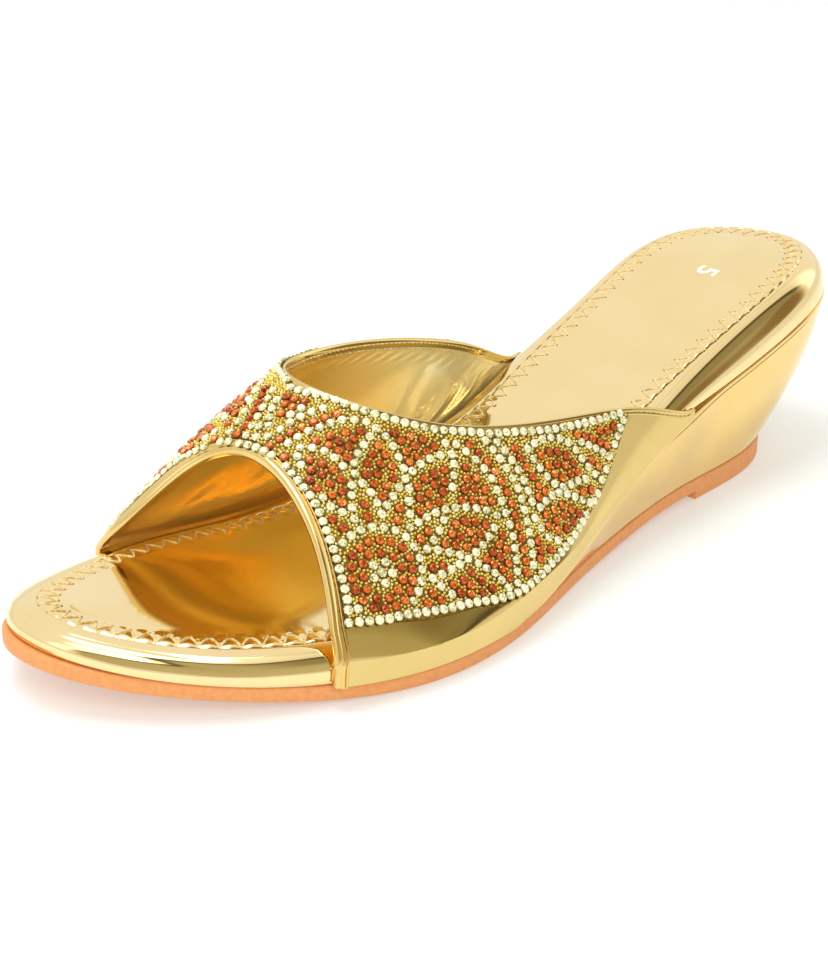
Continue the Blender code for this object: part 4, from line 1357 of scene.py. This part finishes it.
TOP_LINE = ((71.2, .490), (72, .460), (73.8, .432), (76.7, .393), (80, .363), (83.7, .338), (90.3, .303),
            (97.9, .273), (103.2, .252), (108.5, .235), (116.2, .209), (124.5, .183), (132.8, .158),
            (140.5, .136))
EDGE_PITCH = 2.28 * MM        # from stone to stone along the borders


def follow(points, count, closed=False):
    """Evenly spaced places along a smooth line through the points, by length over the skin."""
    points = np.array(points, float) * (MM, 1.0)
    if len(points) == 1:
        return points
    knots = np.arange(len(points))
    t = np.linspace(0, len(points) - 1, 60 * len(points))
    if len(points) > 2:
        line = np.column_stack([smooth_line(knots, points[:, k])(t) for k in (0, 1)])
    else:
        line = points[0] + (points[1] - points[0]) * t[:, None]
    place = skin(line[:, 0], line[:, 1])
    length = np.concatenate([[0.0], np.cumsum(np.linalg.norm(np.diff(place, axis=0), axis=1))])
    at = np.linspace(0.0, length[-1], count, endpoint=not closed)
    return np.column_stack([np.interp(at, length, line[:, k]) for k in (0, 1)])


def line_count(points):
    """How many stones fit along a border at its pitch."""
    points = follow(points, 400)
    place = skin(points[:, 0], points[:, 1])
    return int(round(np.linalg.norm(np.diff(place, axis=0), axis=1).sum() / EDGE_PITCH)) + 1


def share_along(places):
    """How far back on the overlay each place lies: 0 at its front edge, 1 at its back edge."""
    front, back = panel_y(0.0, places[:, 1]), panel_y(1.0, places[:, 1])
    return (places[:, 0] - front) / (back - front)


def far_side(places):
    """Mirror of near places: the same share along the overlay, and the far share across."""
    across = PATTERN_MIDDLE + (PATTERN_MIDDLE - places[:, 1]) * FAR_STRETCH
    return np.column_stack([panel_y(share_along(places), across), across])


def far_border(places):
    """Mirror of the lower border: as far in from the far edge as each place is from the near edge."""
    along = share_along(places)
    across = 1.0 - panel_medial(along) - (places[:, 1] - panel_lateral(along))
    return np.column_stack([panel_y(along, across), across])


stones = {"cream": [], "amber": []}
for kind, count, *points in SIDE_RUNS:
    places = follow(points, count, closed=count > 1 and points[0] == points[-1])
    stones[kind] += [places, far_side(places)]
for points, far_copy in ((LOWER_LINE, far_border), (FRONT_LINE, far_side), (TOP_LINE, far_side)):
    places = follow(points, line_count(points))
    stones["cream"] += [places, far_copy(places)]
for kind, count, *points in CROWN_RUNS:
    stones[kind].append(follow(points, count))
stones = {kind: np.concatenate(rows) for kind, rows in stones.items()}
print({kind: len(rows) for kind, rows in stones.items()})

# %% [markdown]
# ## Keeping stones apart
# Two runs may meet at one stone, and a real worker would leave one out. A tree of neighbours
# finds such pairs, and the later stone of each pair goes.

# %% Thin out doubled stones
STONE = 2.16 * MM             # across a cut stone
NEAREST = 0.715               # stones whose middles are nearer than this share of one are a pair
rng = np.random.default_rng(5)
every_place = np.concatenate([stones["amber"], stones["cream"]])
every_kind = np.repeat(["amber", "cream"], [len(stones["amber"]), len(stones["cream"])])
every_point = skin(every_place[:, 0], every_place[:, 1])


def neighbours(points):
    """Tree of places, to look up which lie near a point."""
    tree = kdtree.KDTree(len(points))
    for index, point in enumerate(points):
        tree.insert(point, index)
    tree.balance()
    return tree


def kept_apart(points, distance):
    """Mask of points that have no kept point nearer than the distance before them."""
    tree = neighbours(points)
    keep = np.ones(len(points), bool)
    for index, point in enumerate(points):
        if keep[index]:
            for _, other, _ in tree.find_range(point, distance):
                if other > index:
                    keep[other] = False
    return keep


keep = kept_apart(every_point, STONE * NEAREST)
every_place, every_kind, every_point = every_place[keep], every_kind[keep], every_point[keep]
print("stones kept:", len(every_place))

# %% [markdown]
# ## Cutting the stones
# A cut stone is a low faceted dome: a girdle, a ring of slanted facets and a flat table. Eight
# sides are enough at this size. The copies lie flat on the skin, each turned its own way.

# %% Stones
STONE_TABLE = 0.52            # width of the flat table, share of the stone
STONE_HEIGHT = 0.95 * MM
BASE = BACKING_FOOT + BACKING_WALL - 0.05 * MM      # stones and seeds are sunk in a little


def dome(sides, rings):
    """Rings of (radius, height) round an axis, closed by a face below and a tip above."""
    angle = np.linspace(0.0, 2.0 * np.pi, sides, endpoint=False)
    points, faces = [], []
    for index, (radius, height) in enumerate(rings):
        turn = angle + (np.pi / sides) * (index % 2)
        points.append(np.column_stack([radius * np.cos(turn), radius * np.sin(turn), np.full(sides, height)]))
    for a in range(len(rings) - 1):
        for k in range(sides):
            n = (k + 1) % sides
            low, high = a * sides, (a + 1) * sides
            if a % 2 == 0:
                faces += [(low + k, low + n, high + k), (high + k, low + n, high + n)]
            else:
                faces += [(low + k, low + n, high + n), (low + k, high + n, high + k)]
    faces.append(tuple(range(sides))[::-1])
    top = (len(rings) - 1) * sides
    points = np.vstack([np.concatenate(points), (0.0, 0.0, 1.0)])
    faces += [(top + k, top + (k + 1) % sides, len(points) - 1) for k in range(sides)]
    return points, faces


def on_overlay(places, lift, turn):
    """Centres and axes of copies lying on the overlay, each turned about its own normal."""
    centre, over, along, out = skin_frame(places[:, 0], places[:, 1], np.full(len(places), lift))
    cosine, sine = np.cos(turn)[:, None], np.sin(turn)[:, None]
    axes = np.stack([over * cosine + along * sine, along * cosine - over * sine, out], axis=1)
    return centre, axes


CUT_SIDES = 8
CUT_RINGS = ((0.45, 0.0), (0.5, 0.30), (0.42, 0.66), (STONE_TABLE / 2.0, 0.96))
GIRDLE_SHADE = 0.10           # painted shade: the girdle's facets look down into the setting and are painted dark
SLANT_SHADE = 0.62            # and so, partly, are the lowest slanted ones


def facet_painted_light(count, faces_each, own_share):
    """Tint of every facet, painted reflections and painted shade: a share from the stone as a whole, the rest
    its own, darkest low down.
    """
    own = rng.uniform(0.0, 1.0, (count, 1))
    facet = rng.uniform(0.0, 1.0, (count, faces_each))
    shade = np.ones(faces_each)
    one_ring = 2 * CUT_SIDES
    shade[:one_ring] = GIRDLE_SHADE
    shade[one_ring:2 * one_ring] = SLANT_SHADE
    return ((own_share * own + (1.0 - own_share) * facet) * shade).ravel()


def laid(some, shape, shape_faces, across, height, spread):
    """Copies of a shape on the overlay, each turned at random and wider or narrower by the spread."""
    centre, axes = on_overlay(some, BASE, rng.uniform(0.0, 2.0 * np.pi, len(some)))
    width = across * rng.uniform(*spread, (len(some), 1))
    size = np.concatenate([width, width, np.full((len(some), 1), height)], axis=1)
    return copies(shape, shape_faces, centre, axes, size)


# Each facet's tint is a painted reflection of the foil inside the stone, with painted shade on the low
# facets.
cut, cut_faces = dome(CUT_SIDES, CUT_RINGS)
for kind, finish, own_share in (("cream", cream_glass, 0.25), ("amber", amber_glass, 0.35)):
    some = every_place[every_kind == kind]
    points, faces = laid(some, cut, cut_faces, STONE, STONE_HEIGHT, spread=(0.95, 1.05))
    tint = facet_painted_light(len(some), len(cut_faces), own_share)
    make_piece(f"{kind}_stones", points, faces, finish, tint=tint, flat=True)

# %% [markdown]
# ## Seed beads
# The ground is filled by hand with tiny round beads. They are sown at random but never closer
# than a bead's width, then nudged apart a few times, which gives the even, slightly wandering
# rows of real beadwork.

# %% Sow the seed beads
SEED = 0.72 * MM              # across a seed bead
SEED_HEIGHT = 0.56 * MM
EDGE_MARGIN = 0.35 * MM       # seed beads stay this far inside the overlay's edge
SOWN_ACROSS = (0.03, 0.97)    # shares across between which the whole overlay lies


def inside_panel(places, margin):
    """Mask of places on the overlay, that margin or more inside its edge."""
    y, across = places.T
    front, back = panel_y(0.0, across), panel_y(1.0, across)
    along = np.clip((y - front) / (back - front), 0.0, 1.0)
    width = np.linalg.norm(skin(y, across + TURN_PROBE) - skin(y, across - TURN_PROBE), axis=1)
    share = margin / (width / (2.0 * TURN_PROBE))
    room = np.minimum(y - front, back - y)
    side = np.minimum(across - panel_lateral(along), 1.0 - panel_medial(along) - across)
    return (room > margin) & (side > share)


def sown(count, seed):
    """Random places over the overlay, in the measure of its area."""
    dice = np.random.default_rng(seed)
    across = dice.uniform(*SOWN_ACROSS, count)
    along = dice.uniform(0.0, 1.0, count)
    y = panel_y(along, across)
    step = panel_y(1.0, across) - panel_y(0.0, across)
    a = skin(y, across + TURN_PROBE) - skin(y, across - TURN_PROBE)
    b = skin(y + PROBE, across) - skin(y - PROBE, across)
    area = np.linalg.norm(np.cross(a, b), axis=1) * step
    keep = dice.uniform(0.0, 1.0, count) < area / area.max()
    return np.column_stack([y, across])[keep]


def slide(places, push):
    """Places moved over the skin by pushes given as vectors in space."""
    y, across = places.T
    a = (skin(y, across + TURN_PROBE) - skin(y, across - TURN_PROBE)) / (2.0 * TURN_PROBE)
    b = (skin(y + PROBE, across) - skin(y - PROBE, across)) / (2.0 * PROBE)
    aa, bb, ab = (a * a).sum(1), (b * b).sum(1), (a * b).sum(1)
    pa, pb = (push * a).sum(1), (push * b).sum(1)
    det = aa * bb - ab * ab
    return places + np.column_stack([(aa * pb - ab * pa) / det, (bb * pa - ab * pb) / det])


blocked = neighbours(every_point)
NEAR_STONE = (STONE + SEED) / 2.0 * 0.89    # no bead's middle is nearer to a stone's than this
PACKED = SEED * 0.82          # beads may be pressed this close
REACH = SEED * 1.12           # and push each other when nearer than this
PUSH = 0.24                   # each round moves a bead by this share of every overlap


def free_places(places):
    """Those places that are on the overlay and beside the stones, not under them."""
    places = places[inside_panel(places, EDGE_MARGIN)]
    clear = [blocked.find(point)[2] > NEAR_STONE for point in skin(places[:, 0], places[:, 1])]
    return places[np.array(clear)]


def eased(places, rounds):
    """Beads nudged apart from near neighbours and stones, by a share of how far they overlap."""
    for _ in range(rounds):
        positions = skin(places[:, 0], places[:, 1])
        tree = neighbours(positions)
        push = np.zeros_like(positions)
        for index, point in enumerate(positions):
            for place, other, distance in tree.find_range(point, REACH):
                if other != index and distance > 0.0:
                    push[index] += (point - np.array(place)) / distance * (REACH - distance) * PUSH
            place, _, distance = blocked.find(point)
            if distance < NEAR_STONE:
                push[index] += (point - np.array(place)) / distance * (NEAR_STONE - distance)
        moved = slide(places, push)
        good = inside_panel(moved, EDGE_MARGIN)
        places[good] = moved[good]
    return places


seeds = np.empty((0, 2))
for handful, seed in ((90000, 11), (60000, 12)):
    seeds = np.concatenate([seeds, free_places(sown(handful, seed))])
    seeds = seeds[kept_apart(skin(seeds[:, 0], seeds[:, 1]), PACKED)]
    seeds = eased(seeds, 3)
print("seed beads:", len(seeds))
bead, bead_faces = dome(6, ((0.5, 0.0), (0.43, 0.60)))
AMBER_GLOW = 1.75 * MM        # beads this near the middle of an amber stone get painted amber light, the stone's colour thrown on them
AMBER_SHADE = 0.7             # which darkens their own random tone to this share
SEED_TINTS = (0.25, 1.0)
for half, mask in (("lateral", seeds[:, 1] < PATTERN_MIDDLE), ("medial", seeds[:, 1] >= PATTERN_MIDDLE)):
    some = seeds[mask]
    points, faces = laid(some, bead, bead_faces, SEED, SEED_HEIGHT, spread=(0.92, 1.06))
    nearest = [blocked.find(point)[1:] for point in skin(some[:, 0], some[:, 1])]
    painted_amber_light = np.array([every_kind[index] == "amber" and away < AMBER_GLOW for index, away in nearest])
    tone_and_painted_amber_light = rng.uniform(*SEED_TINTS, len(some)) * np.where(painted_amber_light, AMBER_SHADE, 1.0)
    tint = np.repeat(tone_and_painted_amber_light, len(bead))
    make_piece(f"seed_beads_{half}", points, faces, seed_gold, tint=tint)

# %% [markdown]
# ## Camera, floor and light
# The shoe stands on plain pale paper that runs on under a bright, even dome, as in a light tent.
# A little darkness near the horizon gives the film its fine dark lines.

# %% Camera
AZIMUTH = np.radians(48.283)
ELEVATION = np.radians(24.148)
ROLL = np.radians(-0.146)
TARGET = np.array([-0.014821, -0.011928, 0.013045])
DISTANCE = 0.42751
LENS = 65.346
SENSOR = 36.0



def direction(azimuth, elevation):
    """Unit arrow: the azimuth turns from the toe towards the lateral side, the elevation upwards."""
    flat = np.cos(elevation)
    return np.array([np.sin(azimuth) * flat, -np.cos(azimuth) * flat, np.sin(elevation)])


back = direction(AZIMUTH, ELEVATION)
right = np.array([np.cos(AZIMUTH), np.sin(AZIMUTH), 0.0])
up = np.cross(back, right)
turned_right = right * np.cos(ROLL) + up * np.sin(ROLL)
turned_up = -right * np.sin(ROLL) + up * np.cos(ROLL)
lens = bpy.data.cameras.new("camera")
lens.sensor_fit = "VERTICAL"
lens.sensor_height = SENSOR
lens.lens = LENS
lens.clip_start = 0.01
camera = bpy.data.objects.new("camera", lens)
place = Matrix.Identity(4)
for row in range(3):
    place[row][0], place[row][1], place[row][2] = turned_right[row], turned_up[row], back[row]
    place[row][3] = TARGET[row] + back[row] * DISTANCE
camera.matrix_world = place
bpy.context.scene.collection.objects.link(camera)
bpy.context.scene.camera = camera
print("camera at", np.round(place.translation, 4))

# %% Floor
# The paper glows a little by its own emission: painted light that lifts the shadows round the shoe. Its
# slightly cool colour counters the warm light that the sole throws on it.
paper, paper_shader = new_finish("paper", (0.66, 0.69, 0.71), 0.8, Emission_Color=(1.0, 1.0, 1.0, 1.0),
                                 Emission_Strength=0.30)
tinted(paper, paper_shader, noise(paper, 30.0, 3.0), "Fac", (0.65, 0.68, 0.70), (0.67, 0.70, 0.72))
FLOOR = 2.5                   # half the width of the paper
UNDER = -0.0001               # the paper lies just under the sole
floor_mesh = bpy.data.meshes.new("floor")
corners = [(-FLOOR, -FLOOR, UNDER), (FLOOR, -FLOOR, UNDER), (FLOOR, FLOOR, UNDER), (-FLOOR, FLOOR, UNDER)]
floor_mesh.from_pydata(corners, [], [(0, 1, 2, 3)])
floor_mesh.materials.append(paper)
floor = bpy.data.objects.new("floor", floor_mesh)
bpy.context.scene.collection.objects.link(floor)

# %% Light
# The tent is open on the shoe's lateral side, above which hangs a long bright strip. The film there
# shows a bright band, a thin dark line where the cloth ends, and the dim olive room below it.
world = bpy.data.worlds.new("tent")
world.use_nodes = True
bpy.context.scene.world = world
nodes = world.node_tree.nodes
links = world.node_tree.links
where = nodes.new("ShaderNodeTexCoord")


def towards(azimuth, elevation, stops):
    """Colours by how nearly a direction points to a place: stops are (cosine of the angle, colour)."""
    dot = nodes.new("ShaderNodeVectorMath")
    dot.operation = "DOT_PRODUCT"
    dot.inputs[1].default_value = direction(np.radians(azimuth), np.radians(elevation))
    links.new(where.outputs["Generated"], dot.inputs[0])
    spread = nodes.new("ShaderNodeMapRange")
    spread.inputs["From Min"].default_value = -1.0
    links.new(dot.outputs["Value"], spread.inputs["Value"])
    ramp = nodes.new("ShaderNodeValToRGB")
    links.new(spread.outputs["Result"], ramp.inputs["Fac"])
    for index, (cosine, colour) in enumerate(stops):
        place = (cosine + 1.0) / 2.0
        stop = ramp.color_ramp.elements[index] if index < 2 else ramp.color_ramp.elements.new(place)
        stop.position = place
        stop.color = (*colour, 1.0)
    return ramp.outputs["Color"]


def blended(kind, first, second, share=None):
    """Mix of two colours; the first may be a plain colour."""
    mix = nodes.new("ShaderNodeMix")
    mix.data_type = "RGBA"
    mix.blend_type = kind
    mix.inputs["Factor"].default_value = 1.0
    if share is not None:
        links.new(share, mix.inputs["Factor"])
    if isinstance(first, tuple):
        mix.inputs["A"].default_value = first
    else:
        links.new(first, mix.inputs["A"])
    links.new(second, mix.inputs["B"])
    return mix.outputs["Result"]


WHITE = (1.0, 1.0, 1.0)
BLACK = (0.0, 0.0, 0.0)
CLOTH = (0.66, 0.66, 0.655)
BAND = (1.0, 1.0, 0.99)
DIM_END = (0.62, 0.60, 0.55)
TABLE = (0.60, 0.60, 0.585, 1.0)
tent = towards(80, 0, ((-1.0, CLOTH), (1.0, (0.42, 0.39, 0.27)), (-0.2, CLOTH), (-0.10, BAND), (0.11, BAND),
                       (0.17, (0.66, 0.64, 0.55)), (0.30, (0.34, 0.31, 0.19))))
cloth_edge = towards(80, 0, ((-1.0, WHITE), (1.0, WHITE), (0.12, WHITE), (0.16, (0.16, 0.14, 0.08)),
                             (0.22, (0.20, 0.17, 0.10)), (0.29, WHITE)))
high_up = towards(0, 90, ((-1.0, BLACK), (1.0, WHITE), (0.45, BLACK), (0.60, WHITE)))
brown_wall = towards(140, 23, ((-1.0, WHITE), (1.0, (0.50, 0.36, 0.27)), (0.955, WHITE),
                               (0.982, (0.54, 0.41, 0.31))))
dimmed_end = towards(142, 60, ((-1.0, WHITE), (1.0, DIM_END), (0.86, WHITE), (0.95, DIM_END)))
above = towards(0, 90, ((-1.0, BLACK), (1.0, WHITE), (0.145, BLACK), (0.175, WHITE)))
sky = blended("MULTIPLY", tent, cloth_edge, share=high_up)
sky = blended("MULTIPLY", blended("MULTIPLY", sky, brown_wall), dimmed_end)
light = blended("MIX", TABLE, sky, share=above)
links.new(light, nodes["Background"].inputs["Color"])
nodes["Background"].inputs["Strength"].default_value = 1.5


def softbox(name, place, size, power, mirrored=True):
    """Square light at the place, facing the shoe; the film may or may not mirror it."""
    lamp = bpy.data.lights.new(name, "AREA")
    lamp.size = size
    lamp.energy = power
    box = bpy.data.objects.new(name, lamp)
    box.location = place
    box.rotation_euler = Vector(place).to_track_quat("Z", "Y").to_euler()
    box.visible_glossy = mirrored
    bpy.context.scene.collection.objects.link(box)


softbox("key", (-0.25, -0.10, 1.1), 0.55, 4.4)
softbox("card", (0.15, -0.60, 0.18), 0.3, 0.45, mirrored=False)
softbox("fill", (0.9, -0.5, 0.9), 0.8, 6.0, mirrored=False)
bpy.context.scene.view_settings.view_transform = "Standard"
